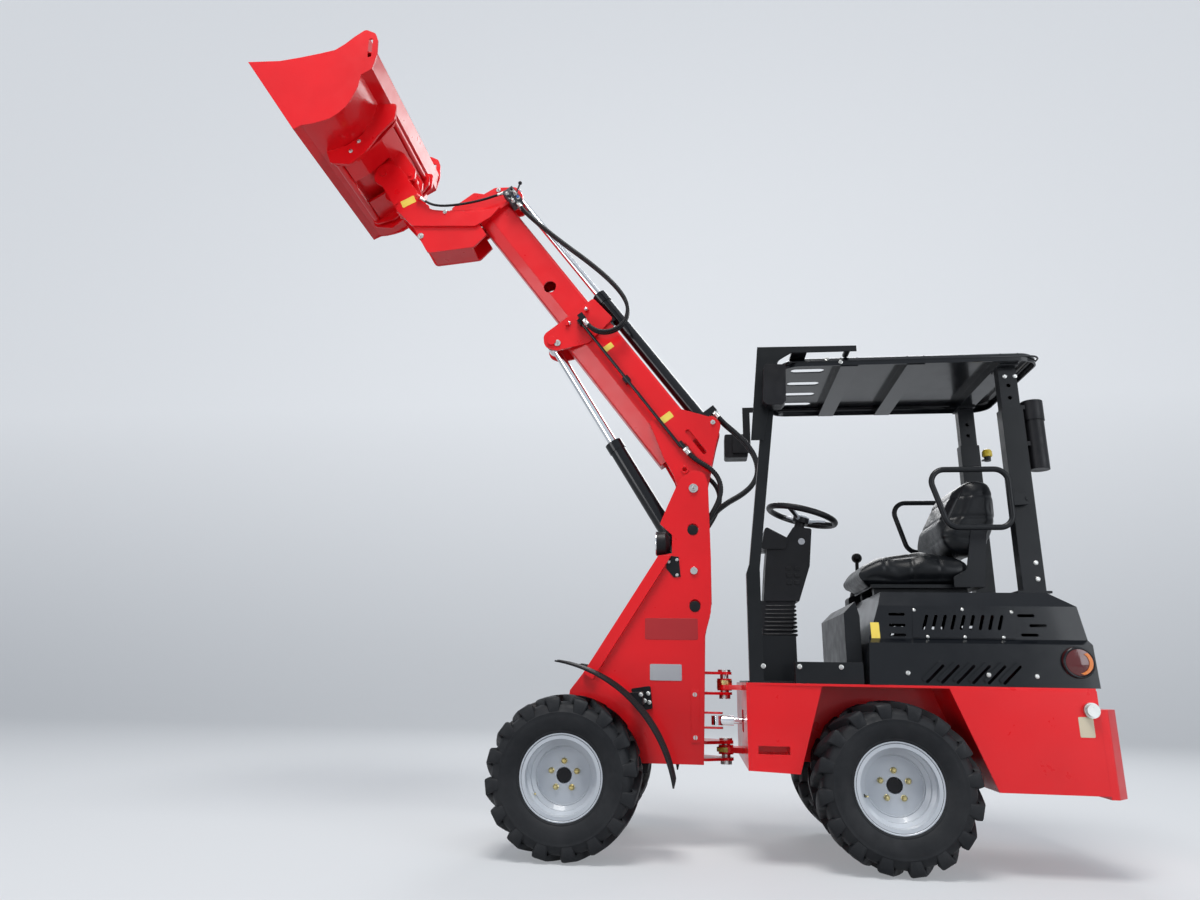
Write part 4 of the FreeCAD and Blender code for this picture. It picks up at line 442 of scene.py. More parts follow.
def finish(name, bm, material, body=None, bevel=0.0):
    """Turn a bmesh into a piece with its finish, which rides on a body if one is named."""
    if bevel:
        edges = [e for e in bm.edges if len(e.link_faces) == 2 and e.calc_face_angle() > SHARP_ANGLE]
        bmesh.ops.bevel(bm, geom=edges, offset=bevel, segments=2, affect="EDGES", clamp_overlap=True)
    bmesh.ops.recalc_face_normals(bm, faces=bm.faces)
    for face in bm.faces:
        face.smooth = True
    for edge in bm.edges:
        if len(edge.link_faces) == 2:
            edge.smooth = edge.calc_face_angle() < SHARP_ANGLE
    mesh = bpy.data.meshes.new(name)
    bm.to_mesh(mesh)
    bm.free()
    mesh.materials.append(material)
    piece = new_object(name, mesh)
    if body:
        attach(piece, body)
    return piece


def turned(name, material, body, profile, centre, axis, sides=24):
    """Piece made of one turned profile."""
    bm = bmesh.new()
    add_turned(bm, profile, centre, axis, sides)
    return finish(name, bm, material, body)


def pushed(name, material, body, outline, push, bevel=0.0):
    """Piece made of one pushed outline."""
    bm = bmesh.new()
    add_pushed(bm, outline, push)
    return finish(name, bm, material, body, bevel)


print("shape makers ready")

# %% [markdown]
# Hydraulic hoses come first, because their lengths and places are settled with the camera. Each is a smooth
# curve through the listed points of its real route. Most wear a spiral guard, a plastic strip wound round
# the hose, so the tube's wall carries a low helical groove. A hose that joins two moving bodies bends between
# them.

# %% Hose routes
HOSE_STEP = 0.0022
PLAIN_HOSE_STEP = 0.008
GUARD_PITCH = 0.0125
GROOVE_DEPTH = 0.0012
GROOVE_SHARPNESS = 6
HOSE_SIDES = 16
CURVE_STEPS = 40

FOOT_ROUTE = [at(x, y, z) for x, y, z in (
    (170, 105, 1828), (139, 106, 1787), (95, 107, 1755), (46, 108, 1723), (9, 108, 1677), (-4, 108, 1621),
    (9, 108, 1563), (37, 108, 1508), (71, 108, 1456), (108, 108, 1410))]
RAM_ROUTE = [on_boom(268, 341, 46), on_boom(206, 341, 46)] + [at(x, y, z) for x, y, z in (
    (-78, 46, 1931), (-138, 46, 1868), (-180, 46, 1797), (-190, 46, 1722), (-162, 46, 1655),
    (-106, 46, 1606), (-36, 46, 1568), (26, 46, 1520), (70, 46, 1464), (103, 46, 1412))]
HEAD_ROUTE = [on_boom(u, n, y) for u, n, y in (
    (1062, 100, 124), (997, 100, 124), (935, 145, 125), (911.5, 217.5, 125), (935, 290, 124),
    (997, 335, 122), (1085, 349, 118), (1205, 342, 112), (1350, 318, 104), (1495, 286, 96),
    (1640, 258, 88), (1760, 240, 81), (1850, 230, 76), (1900, 230, 76))]
HITCH_ROUTE = [at(x, y, z) for x, y, z in (
    (1175, 85, 3352), (1245, 87, 3327), (1338, 92, 3300), (1440, 98, 3282), (1530, 104, 3276),
    (1600, 109, 3292), (1648, 112, 3330))]


def smooth_line(points):
    """Points close together on the smooth curve that a route's points pull into shape."""
    curve = bpy.data.curves.new("route", "CURVE")
    curve.dimensions = "3D"
    curve.resolution_u = CURVE_STEPS
    spline = curve.splines.new("NURBS")
    spline.points.add(len(points) - 1)
    for point, place in zip(spline.points, points):
        point.co = (*place, 1)
    spline.order_u = 3
    spline.use_endpoint_u = True
    holder = new_object("route", curve)
    mesh = evaluated_mesh(holder)
    line = [v.co.copy() for v in mesh.vertices]
    bpy.data.objects.remove(holder)
    bpy.data.meshes.remove(mesh)
    return line


def even_steps(line, step):
    """The same line with its points at even steps, and its length."""
    places = [0.0]
    for a, b in zip(line, line[1:]):
        places.append(places[-1] + (b - a).length)
    count = max(2, round(places[-1] / step))
    result = []
    index = 0
    for k in range(count + 1):
        goal = places[-1] * k / count
        while index < len(line) - 2 and places[index + 1] < goal:
            index += 1
        span = places[index + 1] - places[index]
        result.append(line[index].lerp(line[index + 1], (goal - places[index]) / span if span else 0))
    return result, places[-1]


# %% Make the hoses
made_hoses = []


def make_hose(node, route, radius, body, far_body=None, far_point=None):
    """Hose along a route, standing for its CAD node.

    It bends between two bodies and wears a spiral guard, or rides plain on one body.
    """
    line, length = even_steps(smooth_line(route), HOSE_STEP if far_body else PLAIN_HOSE_STEP)

    def guard_wall(k, angle):
        turn = angle / (2 * math.pi) - k * HOSE_STEP / GUARD_PITCH
        return radius - GROOVE_DEPTH * max(0.0, math.cos(2 * math.pi * turn)) ** GROOVE_SHARPNESS
    bm = bmesh.new()
    add_tube(bm, line, guard_wall if far_body else radius, HOSE_SIDES)
    piece = finish(node + "_tube", bm, hose_rubber)
    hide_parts(node)
    if far_body:
        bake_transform(piece, body, far_body, start=tuple(far_point[0]), end=tuple(far_point[1]))
    else:
        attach(piece, body)
    made_hoses.append((node, route, radius, body, far_body))
    print(node, "length", round(length, 3), "m, diameter", round(2000 * radius, 1), "mm")


def shifted(route, sideways):
    """The same route further to the left by a number of metres."""
    return [p + LEFT * sideways for p in route]


def mirrored(route):
    """The same route on the machine's other side."""
    return [Vector((p.x, -p.y, p.z)) for p in route]


FOOT_ENDS = (FOOT_ROUTE[-1], FOOT_ROUTE[0])
RAM_ENDS = (RAM_ROUTE[-1], RAM_ROUTE[0])
HEAD_ENDS = (HEAD_ROUTE[0], HEAD_ROUTE[-1])
make_hose("hose_foot_left", FOOT_ROUTE, 0.0125, "front", "outer_boom", FOOT_ENDS)
make_hose("hose_foot_right", mirrored(FOOT_ROUTE), 0.0125, "front", "outer_boom", FOOT_ENDS)
make_hose("hose_ram_outer", RAM_ROUTE, 0.012, "front", "outer_boom", RAM_ENDS)
make_hose("hose_ram_inner", shifted(RAM_ROUTE, -0.028), 0.012, "front", "outer_boom", RAM_ENDS)
make_hose("hose_head_inner", HEAD_ROUTE, 0.01, "outer_boom", "inner_boom", HEAD_ENDS)
make_hose("hose_head_outer", shifted(HEAD_ROUTE, 0.0235), 0.01, "outer_boom", "inner_boom", HEAD_ENDS)
make_hose("hose_hitch", HITCH_ROUTE, 0.007, "inner_boom")

# %% [markdown]
# A hose ends in a crimped steel sleeve with a hexagon on it. One sleeve is spun for each end, along the
# hose's own direction there, and it rides on the body that the end is screwed into.

# %% Hose ends
SLEEVE_LENGTH = 0.034
CRIMPS = 3
CRIMP_PITCH = 0.006


def add_hexagon(bm, centre, axis, across, start, end):
    """Six-sided nut with turned corners, from start to end along its axis."""
    corner = across / math.sqrt(3)
    add_turned(bm, [(start, 0), (start, corner * 0.9), (start + 0.001, corner), (end - 0.001, corner),
                    (end, corner * 0.9), (end, 0)], centre, axis, 6)


for node, route, radius, body, far_body in made_hoses:
    for tip, inward, owner in ((route[0], route[1], body), (route[-1], route[-2], far_body or body)):
        if node.startswith(("hose_foot", "hose_ram")):
            owner = "outer_boom" if tip is route[0] else "front"
        axis = (inward - tip).normalized()
        bm = bmesh.new()
        ridges = [(0.01, 0), (0.01, radius * 1.05), (0.012, radius * 1.22)]
        for k in range(CRIMPS):
            ridges += [(0.016 + k * CRIMP_PITCH, radius * 1.22), (0.0175 + k * CRIMP_PITCH, radius * 1.14),
                       (0.019 + k * CRIMP_PITCH, radius * 1.22)]
        ridges += [(SLEEVE_LENGTH, radius * 1.22), (SLEEVE_LENGTH + 0.002, radius)]
        add_turned(bm, ridges, tip, axis, 20)
        add_hexagon(bm, tip, axis, radius * 2.3, -0.002, 0.011)
        finish(f"{node}_fitting_{'start' if tip is route[0] else 'end'}", bm, bright_zinc, owner)
print("hose ends:", 2 * len(made_hoses))

# %% [markdown]
# Screws, nuts and other repeated parts are set by a Geometry Nodes tree. A small mesh holds only points, each
# with the direction that its part faces and its size. The tree puts the template on each point and turns it,
# and makes the instances real. Each result is one mesh, which rides on one body.

# %% Tree that repeats a part on points


def make_repeat_tree():
    """Node group that puts a template object on every point of a mesh."""
    tree = bpy.data.node_groups.new("repeat_on_points", "GeometryNodeTree")
    for name, kind, way in (("Points", "Geometry", "INPUT"), ("Template", "Object", "INPUT"),
                            ("Finish", "Material", "INPUT"), ("Result", "Geometry", "OUTPUT")):
        tree.interface.new_socket(name=name, in_out=way, socket_type="NodeSocket" + kind)
    source = add(tree, "NodeGroupInput").outputs
    template = add(tree, "GeometryNodeObjectInfo", Object=source["Template"])
    facing = add(tree, "GeometryNodeInputNamedAttribute", {"data_type": "FLOAT_VECTOR"}, Name="facing")
    size = add(tree, "GeometryNodeInputNamedAttribute", {"data_type": "FLOAT"}, Name="size")
    turn = add(tree, "FunctionNodeAlignRotationToVector", {"axis": "Z"}, Vector=facing.outputs[0])
    place = add(tree, "GeometryNodeInstanceOnPoints", Points=source["Points"],
                Instance=template.outputs["Geometry"], Rotation=turn.outputs["Rotation"],
                Scale=size.outputs[0])
    real = add(tree, "GeometryNodeRealizeInstances", Geometry=place.outputs["Instances"])
    paint = add(tree, "GeometryNodeSetMaterial", Geometry=real.outputs[0], Material=source["Finish"])
    add(tree, "NodeGroupOutput", Result=paint.outputs[0])
    return tree


repeat_tree = make_repeat_tree()
socket_of = {item.name: item.identifier for item in repeat_tree.interface.items_tree if item.in_out == "INPUT"}


def repeat(name, template, material, body, places):
    """One mesh of a template repeated at (point, facing, size) places."""
    mesh = bpy.data.meshes.new("points")
    mesh.from_pydata([tuple(p) for p, _, _ in places], [], [])
    mesh.attributes.new("facing", "FLOAT_VECTOR", "POINT")
    mesh.attributes.new("size", "FLOAT", "POINT")
    for k, (_, direction, scale) in enumerate(places):
        mesh.attributes["facing"].data[k].vector = direction
        mesh.attributes["size"].data[k].value = scale
    holder = new_object("points", mesh)
    modifier = holder.modifiers.new("repeat", "NODES")
    modifier.node_group = repeat_tree
    modifier[socket_of["Template"]] = template
    modifier[socket_of["Finish"]] = material
    result = evaluated_mesh(holder)
    bpy.data.objects.remove(holder)
    bpy.data.meshes.remove(mesh)
    result.name = name
    piece = new_object(name, result)
    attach(piece, body)


# %% [markdown]
# Each template stands on the plane through the origin and is about one unit across, so that a point's size
# scales it. A template is a few turned profiles with their numbers of sides: a washer, a hexagon, a dome or a
# stud.

# %% Templates
TEMPLATE_PROFILES = {
    "bolt": [
        ([(-0.2, 0), (-0.2, 1.0), (0.12, 1.0), (0.16, 0.94), (0.16, 0)], 24),
        ([(0.15, 0), (0.15, 0.78), (0.56, 0.78), (0.68, 0.62), (0.68, 0)], 6)],
    "screw": [
        ([(-0.2, 0), (-0.2, 1.0), (0.08, 1.0), (0.34, 0.86), (0.5, 0.6), (0.54, 0.46)], 20),
        ([(0.54, 0.46), (0.3, 0.4), (0.3, 0)], 6)],
    "dome": [
        ([(-0.3, 0), (-0.3, 0.9), (0.3, 0.9), (0.38, 0.78)], 6),
        ([(0.3, 0.74), (0.5, 0.7), (0.8, 0.52), (0.96, 0.26), (1.0, 0)], 18)],
    "wheel_nut": [
        ([(-0.1, 0), (-0.1, 1.0), (0.14, 1.0), (0.26, 0.82)], 24),
        ([(0.2, 0.8), (0.86, 0.8), (1.0, 0.66), (1.0, 0.44)], 6),
        ([(0.8, 0.46), (1.38, 0.46), (1.48, 0.36), (1.48, 0)], 18)],
    "slotted": [([(-0.1, 0), (-0.1, 0.98), (0.12, 0.98), (0.12, 0)], 20)],
}
SLOT_HALF_TURN = math.radians(82)


def make_template(kind, profiles):
    """Template object of a kind. A slotted head is two half heads on a disc."""
    bm = bmesh.new()
    for way in (-1, 1) if kind == "slotted" else ():
        angles = [SLOT_HALF_TURN * (k / 6 - 1) for k in range(13)]
        add_pushed(bm, [Vector((way * math.cos(a), math.sin(a), -0.1)) for a in angles], UP * 0.5)
    for profile, sides in profiles:
        add_turned(bm, profile, (0, 0, 0), UP, sides)
    return finish("template_" + kind, bm, bright_zinc)


templates = {kind: make_template(kind, profiles) for kind, profiles in TEMPLATE_PROFILES.items()}

# %% [markdown]
# A small part belongs on whatever surface is there. A ray towards the machine finds the CAD surface, so each
# part sits on what carries it, faces the way the surface does, and rides on the body that the ray hit.

# %% Find the surface
FAR_OUT = 3000
BARE_NODES = ("hose", "tyre", "rim")
LEAST_FACING = 0.6
surface_trees = []
for name, node in nodes.items():
    if not name.startswith(BARE_NODES):
        corners = [v.co[:] for v in node.data.vertices]
        faces = [p.vertices[:] for p in node.data.polygons]
        surface_trees.append((BVHTree.FromPolygons(corners, faces), body_of(node)[0]))


def find_surface(start, direction):
    """The point, the facing and the body that a ray meets first, or None."""
    best = None
    for tree, body in surface_trees:
        point, facing, _, distance = tree.ray_cast(start, direction)
        if point and (not best or distance < best[3]):
            best = (point, facing, body, distance)
    if not best:
        return None
    point, facing, body, _ = best
    return point, (facing if facing.dot(direction) < 0 else -facing), body


fastenings = {}


def fasten(kind, size, places, both_sides=True, start=FAR_OUT, least=0):
    """Queue fastenings at (x, z) places on the machine's sides, looking inward from start millimetres out.

    A surface that is less than least millimetres out is left bare.
    """
    for x, z in places:
        for side in (1, -1) if both_sides else (1,):
            ray = Vector((0, -side, 0))
            hit = find_surface(at(x, side * start, z), ray)
            if hit and hit[1].dot(ray) < -LEAST_FACING and abs(hit[0].y) >= least * MILLIMETRE:
                fastenings.setdefault((kind, hit[2]), []).append((hit[0], hit[1], size))


LABEL_SINK = 0.0005


def label(name, material, places, thickness=0.0009, side=1, size=None, tilt=0.0):
    """Thin blank plate with rounded corners over two opposite (x, z) corners, on the surface behind it.

    size is (width, height) in millimetres where it isn't upright, and tilt its turn in degrees.
    """
    (low_x, low_z), (high_x, high_z) = places
    point, facing, body = find_surface(at((low_x + high_x) / 2, side * FAR_OUT, (low_z + high_z) / 2),
                                       Vector((0, -side, 0)))
    width, height = size or (high_x - low_x, high_z - low_z)
    upright = Matrix.Rotation(math.radians(tilt), 3, facing) @ UP
    across = facing.cross(upright).normalized() * width * MILLIMETRE / 2
    above = across.cross(facing).normalized() * height * MILLIMETRE / 2
    corner = 0.12 * min(across.length, above.length) / max(across.length, above.length) + 0.06
    outline = []
    for quarter, (sx, sz) in enumerate(QUARTERS):
        for k in range(5):
            a = math.radians(90 * quarter + 22.5 * k)
            outline.append(point + across * (sx * (1 - corner) + corner * math.cos(a))
                           + above * (sz * (1 - corner) + corner * math.sin(a)) - facing * LABEL_SINK)
    pushed(name, material, body, outline, facing * (thickness + LABEL_SINK))


print("surface finder ready")

# %% [markdown]
# Each tyre gets a round body with a rubbing ring on its wall, and two rows of lugs with rounded edges. The
# lugs stand at the same angles as the CAD tyre's, lean back to the shoulder and run down on to the side wall.

# %% Tyres
WHEELS = {"front_left": (688, 370, 1), "front_right": (688, -370, -1), "rear_left": (-652, 370, 1),
          "rear_right": (-652, -370, -1)}
AXLE_HEIGHT = 325
LUGS = 16
LEAN = 15
HALF_WIDTH = 0.143
TYRE_PROFILE = [
    (0.124, 0.155), (0.1285, 0.156), (0.13, 0.164), (0.131, 0.174), (0.1338, 0.1765), (0.135, 0.18),
    (0.1342, 0.1835), (0.1385, 0.19), (0.1445, 0.208), (0.1485, 0.226), (0.1498, 0.242), (0.149, 0.251),
    (0.15, 0.2535), (0.1498, 0.257), (0.1474, 0.2595), (0.144, 0.272), (0.135, 0.285), (0.12, 0.2935),
    (0.09, 0.2965), (0.03, 0.2975)]
# Columns: sideways, radius, how far the drop goes sideways and inward, depth and half angle of the lug there.
LUG_TOPS = [
    (-0.003, 0.325, 0, 1, 0.034, 3.4), (0.012, 0.325, 0, 1, 0.034, 3.5), (0.045, 0.3242, 0, 1, 0.033, 4.0),
    (0.08, 0.3224, 0, 1, 0.031, 4.5), (0.112, 0.3204, 0.05, 1, 0.03, 5.0),
            (0.13, 0.3186, 0.2, 0.98, 0.029, 5.3),
    (0.1395, 0.3148, 0.6, 0.8, 0.026, 5.5), (0.1455, 0.305, 0.93, 0.37, 0.018, 5.4),
    (0.1485, 0.288, 0.99, 0.12, 0.012, 5.1), (0.15, 0.266, 1, 0, 0.006, 4.7),
            (0.1465, 0.253, 1, 0, 0.004, 4.4)]


def add_lug(bm, centre, side, row, index):
    """One lug, as rounded sections from the tread's middle out to the side wall."""
    sections = []
    for y, radius, out_y, out_r, depth, half in LUG_TOPS:
        middle = index * 360 / LUGS + (180 / LUGS if row < 0 else 0) + LEAN * min(1, max(0, y / HALF_WIDTH))
        flank = 1.6 * depth / 0.034
        section = []
        for turn, drop in ((-half - flank, depth), (-half - 0.2, 0.006), (-half + 0.25, 0.0014),
                           (-half + 0.8, 0),
                           (half - 0.8, 0), (half - 0.25, 0.0014), (half + 0.2, 0.006),
                           (half + flank, depth)):
            drop = min(drop, depth)
            a = math.radians(middle + turn)
            r = radius - out_r * drop
            section.append(bm.verts.new(centre + Vector((r * math.sin(a), side * row * (y - out_y * drop),
                                                         -r * math.cos(a)))))
        sections.append(section)
    bm.faces.new(sections[0])
    for near, far in zip(sections, sections[1:]):
        for k in range(7):
            bm.faces.new((near[k], near[k + 1], far[k + 1], far[k]))


for name, (x, y, side) in WHEELS.items():
    bm = bmesh.new()
    centre = at(x, y, AXLE_HEIGHT)
    profile = TYRE_PROFILE + [(-along, radius) for along, radius in reversed(TYRE_PROFILE)]
    add_turned(bm, profile, centre, LEFT, 96)
    for row in (1, -1):
        for index in range(LUGS):
            add_lug(bm, centre, side, row, index)
    tyre = finish(f"tyre_{name}_lugged", bm, tyre_rubber, "wheel_" + name)
    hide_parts("tyre_" + name)
print("tyres:", len(WHEELS), "with", 2 * LUGS, "lugs each")

# %% [markdown]
# Each rim gets a rolled lip and a ring of weld where the disc meets the barrel, a flat black disc of painted
# shade in the hub's centre, five flanged nuts with studs, and a rubber valve with its cap.

# %% Rims
NUT_CIRCLE = 0.1143 / 2
DISC_FACE = 42
VALVE_PLACES = {"front": (0.118, -0.075), "rear": (0.127, -0.041)}
for name, (x, y, side) in WHEELS.items():
    body = "wheel_" + name
    centre = at(x, y, AXLE_HEIGHT)
    outward = LEFT * side
    bm = bmesh.new()
    add_turned(bm, [(0.1265, 0.165), (0.13, 0.1655), (0.1325, 0.168), (0.1325, 0.1715), (0.13, 0.1735),
                    (0.127, 0.173)], centre, outward, 96)
    add_turned(bm, [(0.0395, 0.1215), (0.044, 0.12), (0.047, 0.117), (0.0465, 0.114), (0.0415, 0.112)],
               centre, outward, 96)
    finish("rim_lip_" + name, bm, rim_silver, body)
    # A flat black disc in the hub's centre is painted shade: it stands for the shadow in the hub.
    turned("hub_shadow_cap_" + name, black_plastic, body, [(0.0385, 0), (0.0385, 0.0285), (0.04, 0.029)],
           centre, outward, 32)
    nuts = []
    for k in range(5):
        a = math.radians(90 + 72 * k)
        foot = centre + Vector((math.cos(a), 0, math.sin(a))) * NUT_CIRCLE + outward * DISC_FACE * MILLIMETRE
        nuts.append((foot, outward, 0.0125))
    repeat("wheel_nuts_" + name, templates["wheel_nut"], yellow_zinc, body, nuts)
    dx, dz = VALVE_PLACES[name.split("_")[0]]
    foot = centre + Vector((dx, side * 0.058, dz))
    lean = (outward + Vector((-dx, 0, -dz)).normalized() * 0.25).normalized()
    turned("valve_rubber_" + name, black_plastic, body,
           [(-0.004, 0.009), (0.002, 0.009), (0.005, 0.0055), (0.026, 0.0042), (0.027, 0)], foot, lean, 16)
    turned("valve_cap_" + name, yellow_zinc, body,
           [(0.026, 0), (0.026, 0.004), (0.036, 0.004), (0.04, 0.0034), (0.041, 0)], foot, lean, 12)
print("rims dressed")

# %% [markdown]
# The head lamps get a chrome ring and a clear lens, and the tail lamps a black ring and a red lens with an
# amber crescent. The mudguards get stiffening ribs and a rolled edge.

# %% Lamps
for side, word in SIDES:
    centre = at(313, side * 112, 1350)
    bm = bmesh.new()
    add_tube(bm, ring_line(centre, AHEAD, 0.0535), 0.0048, 12, closed=True)
    finish("head_lamp_ring_" + word, bm, chrome, "front")
    turned("head_lamp_lens_" + word, lens_clear, "front",
           [(0.0, 0.0515), (0.003, 0.05), (0.005, 0.04), (0.0062, 0.02), (0.0066, 0)], centre, AHEAD, 40)
    centre = at(-1402, side * 445, 812)
    bm = bmesh.new()
    add_tube(bm, ring_line(centre, LEFT, 0.057), 0.005, 12, closed=True)
    finish("tail_lamp_ring_" + word, bm, gloss_black, "rear")
    turned("tail_lamp_lens_" + word, lens_red, "rear",
           [(0.0, 0.054), (0.0035, 0.052), (0.006, 0.04), (0.0078, 0.02), (0.0084, 0)], centre, LEFT * side,
           40)
    bm = bmesh.new()
    outer = [math.radians(130 + 130 * k / 20) for k in range(21)]
    crescent = [centre + Vector((0.049 * math.cos(a), 0, 0.049 * math.sin(a))) for a in outer]
    crescent += [centre + Vector((0.012 + 0.047 * math.cos(a), 0,
                                  0.043 * math.sin(a))) for a in reversed(outer)]
    add_pushed(bm, crescent, LEFT * side * 0.0092)
    finish("tail_lamp_amber_" + word, bm, lens_amber, "rear", bevel=0.001)
print("lamps dressed")

# %% Mudguards
GUARD_CENTRE = (816, 198)
GUARD_RADIUS = 599


def guard_line(radius, y, first=99.5, last=169.5, steps=36):
    """Points along the mudguard's arc."""
    angles = [math.radians(first + (last - first) * k / steps) for k in range(steps + 1)]
    return [at(GUARD_CENTRE[0] + radius * math.cos(a), y,
               GUARD_CENTRE[1] + radius * math.sin(a)) for a in angles]


for side, word in SIDES:
    bm = bmesh.new()
    for y in (288, 330, 372, 414, 456):
        add_tube(bm, guard_line(GUARD_RADIUS + 0.5, side * y), 0.0042, 8)
    for y in (241, 497):
        add_tube(bm, guard_line(GUARD_RADIUS - 1, side * y), 0.005, 10)
    finish("mudguard_ribs_" + word, bm, black_plastic, "front")
print("mudguards dressed")

# %% [markdown]
# Blank plates and labels sit where the machine has them. The yellow ones stay plain yellow, and none has a
# word, a sign or a picture.

# %% Blank plates and labels
BOOM_TILT = 36.8
HEAD_TILT = 27
label("label_tower", label_red, [(121, 897), (366, 995)])
label("plate_tower", label_grey, [(197, 714), (343, 787)], 0.0015)
label("label_cowl", label_yellow, [(-644, 890), (-608, 968)])
label("label_rear_box", label_beige, [(-1422, 526), (-1366, 603)])
label("label_boom_low", label_yellow, [(225, 1967), (296, 2033)], size=(62, 37), tilt=BOOM_TILT)
label("label_boom_high", label_yellow, [(536, 2369), (595, 2428)], size=(54, 32), tilt=BOOM_TILT)
label("label_boom_head", label_yellow, [(1679, 3287), (1774, 3358)], size=(84, 46), tilt=HEAD_TILT)
for side, word in SIDES:
    label(f"cover_strip_{word}", red_paint, [(118, 448), (158, 675)], 0.003, side)
print("plates and labels set")

# %% [markdown]
# Bolts and screws go where the photograph shows them, a few millimetres to a few centimetres across.

# %% Bolts and screws
fasten("bolt", 0.01, [(376, 652), (350, 656), (345, 618), (366, 625)])
fasten("bolt", 0.011, [(253, 1258), (215, 1268), (215, 1196)])
fasten("slotted", 0.01, [(139, 655), (139, 470)])
fasten("screw", 0.0075, [(-794, 1021), (-991, 1025), (-1188, 1015), (-837, 910), (-987, 910), (-1141, 910)])
fasten("bolt", 0.009, [(-734, 761), (-1048, 758), (-1237, 755)])
fasten("bolt", 0.012, [(1609, 3296), (1506, 3246)])
fasten("dome", 0.012, [(686, 2610), (776, 2538)], both_sides=False)
fasten("bolt", 0.01, [(-499, 2178), (-560, 2160), (-470, 780), (-150, 780), (-300, 780)])
fasten("bolt", 0.01, [(-1330, 1160), (-1330, 1230), (-1345, 2090), (-1300, 2090)])
fasten("bolt", 0.012, [(1945, 3560), (1985, 3500), (2100, 3720)], start=400, least=250)
for (kind, body), places in fastenings.items():
    repeat(f"{kind}_set_{body}", templates[kind], chrome if kind == "dome" else bright_zinc, body, places)
    print(kind, "on", body, len(places))

# %% [markdown]
# Each pivot pin ends in a plated disc with a lubricating nipple, and plain plugs close two holes in the
# tower.

# %% Pin ends and tower plugs
# Columns: ahead, above and radius of the disc.
PINS = [(132, 1616, 0.0135), (30, 1968, 0.0125), (882, 2770, 0.016), (836, 2424, 0.018), (1640, 3105, 0.018),
        (1215, 3400, 0.014)]
for side, word in SIDES:
    for number, (x, z, radius) in enumerate(PINS):
        hit = find_surface(at(x, side * FAR_OUT, z), LEFT * -side)
        if not hit:
            continue
        point, facing, body = hit
        bm = bmesh.new()
        add_turned(bm, [(-0.002, 0), (-0.002, radius), (0.004, radius), (0.006, radius * 0.92),
                        (0.006, radius * 0.4), (0.004, radius * 0.34), (0.004, 0)], point, facing, 32)
        add_turned(bm, [(0.004, 0.0045), (0.008, 0.0045), (0.009, 0.0028), (0.014, 0.003), (0.016, 0.0015),
                        (0.016, 0)], point, facing, 12)
        finish(f"pin_end_{number}_{word}", bm, bright_zinc, body)
    for number, (x, z) in enumerate(((138, 1412), (133, 1050))):
        turned(f"tower_plug_{number}_{word}", black_plastic, "front",
               [(-0.006, 0), (-0.006, 0.02), (0.0, 0.021), (0.0002, 0.0255), (0.0022, 0.025), (0.0034, 0.02),
                (0.0036, 0)], at(x, side * 140, z), LEFT * side, 32)
print("pins dressed")

# %% [markdown]
# Between the two halves, the upper joint's boss is plated and the lower one wears a yellow-green sleeve. The
# steering wheel has a silver hub cover, and a yellow cap stands behind the far post.

# %% Sleeves, hub cover and cap
for z, half, material, word in ((701, 0.02, yellow_zinc, "upper"), (414, 0.01, bush_green, "lower")):
    point, facing, body = find_surface(at(0, FAR_OUT, z), -LEFT)
    radius = min(abs(point.y) + 0.0015, 0.06)
    turned("joint_sleeve_" + word, material, body,
           [(-half, radius - 0.004), (-half, radius - 0.001), (-half + 0.001, radius), (half - 0.001, radius),
            (half, radius - 0.001), (half, radius - 0.004)], at(0, 0, z), UP, 40)
    print("sleeve", word, "radius", round(radius, 4), "on", body)

WHEEL_CENTRE = at(-395, 0, 1505)
WHEEL_LEAN = math.radians(15)
WHEEL_AXIS = Vector((-math.sin(WHEEL_LEAN), 0, math.cos(WHEEL_LEAN)))
bm = bmesh.new()
add_turned(bm, [(-0.012, 0.0385), (-0.009, 0.0395), (-0.004, 0.037), (0.0, 0.03), (0.002, 0.02), (0.0025, 0)],
           WHEEL_CENTRE, WHEEL_AXIS, 40)
for angle in (30, 150, 270):
    forward = LEFT.cross(WHEEL_AXIS)
    way = LEFT * math.cos(math.radians(angle)) + forward * math.sin(math.radians(angle))
    line = [WHEEL_CENTRE - WHEEL_AXIS * (0.0215 - 0.018 * k / 8) + way * (0.03 + 0.085 * k / 8) for k in range(9)]
    add_tube(bm, line, lambda k, a: 0.0102 - 0.00006 * k, 14)
finish("steering_hub_cover", bm, rim_silver, "steering_wheel")

bm = bmesh.new()
add_turned(bm, [(0, 0), (0, 0.016), (0.026, 0.017), (0.027, 0)], at(-1404, -300, 1850), UP, 24)
add_pushed(bm, [at(-1376, -311, 1852), at(-1410, -311, 1852), at(-1410, -289, 1852), at(-1376, -289, 1852)],
           UP * 0.006)
finish("post_cap_base", bm, satin_black, "rear")
turned("post_cap", cap_yellow, "rear", [(0.024, 0), (0.024, 0.022), (0.028, 0.0255), (0.05, 0.025),
                                        (0.06, 0.02), (0.065, 0.01), (0.066, 0)], at(-1404, -300, 1850), UP,
       28)

# %% [markdown]
# The head lamp's bracket is a black plate on the tower. The valve block on the boom carries a row of
# cartridges with plain caps, one of them blue, and a lever with a round knob.

# %% Lamp brackets and valve cartridges
for side in (1, -1):
    bm = bmesh.new()
    outline = [(266, 1290), (206, 1282), (198, 1188), (230, 1184), (266, 1228)]
    add_pushed(bm, [at(x, side * 139.5, z) for x, z in outline], LEFT * side * 0.004)
    finish(f"head_lamp_bracket_{'left' if side > 0 else 'right'}", bm, satin_black, "front", bevel=0.001)

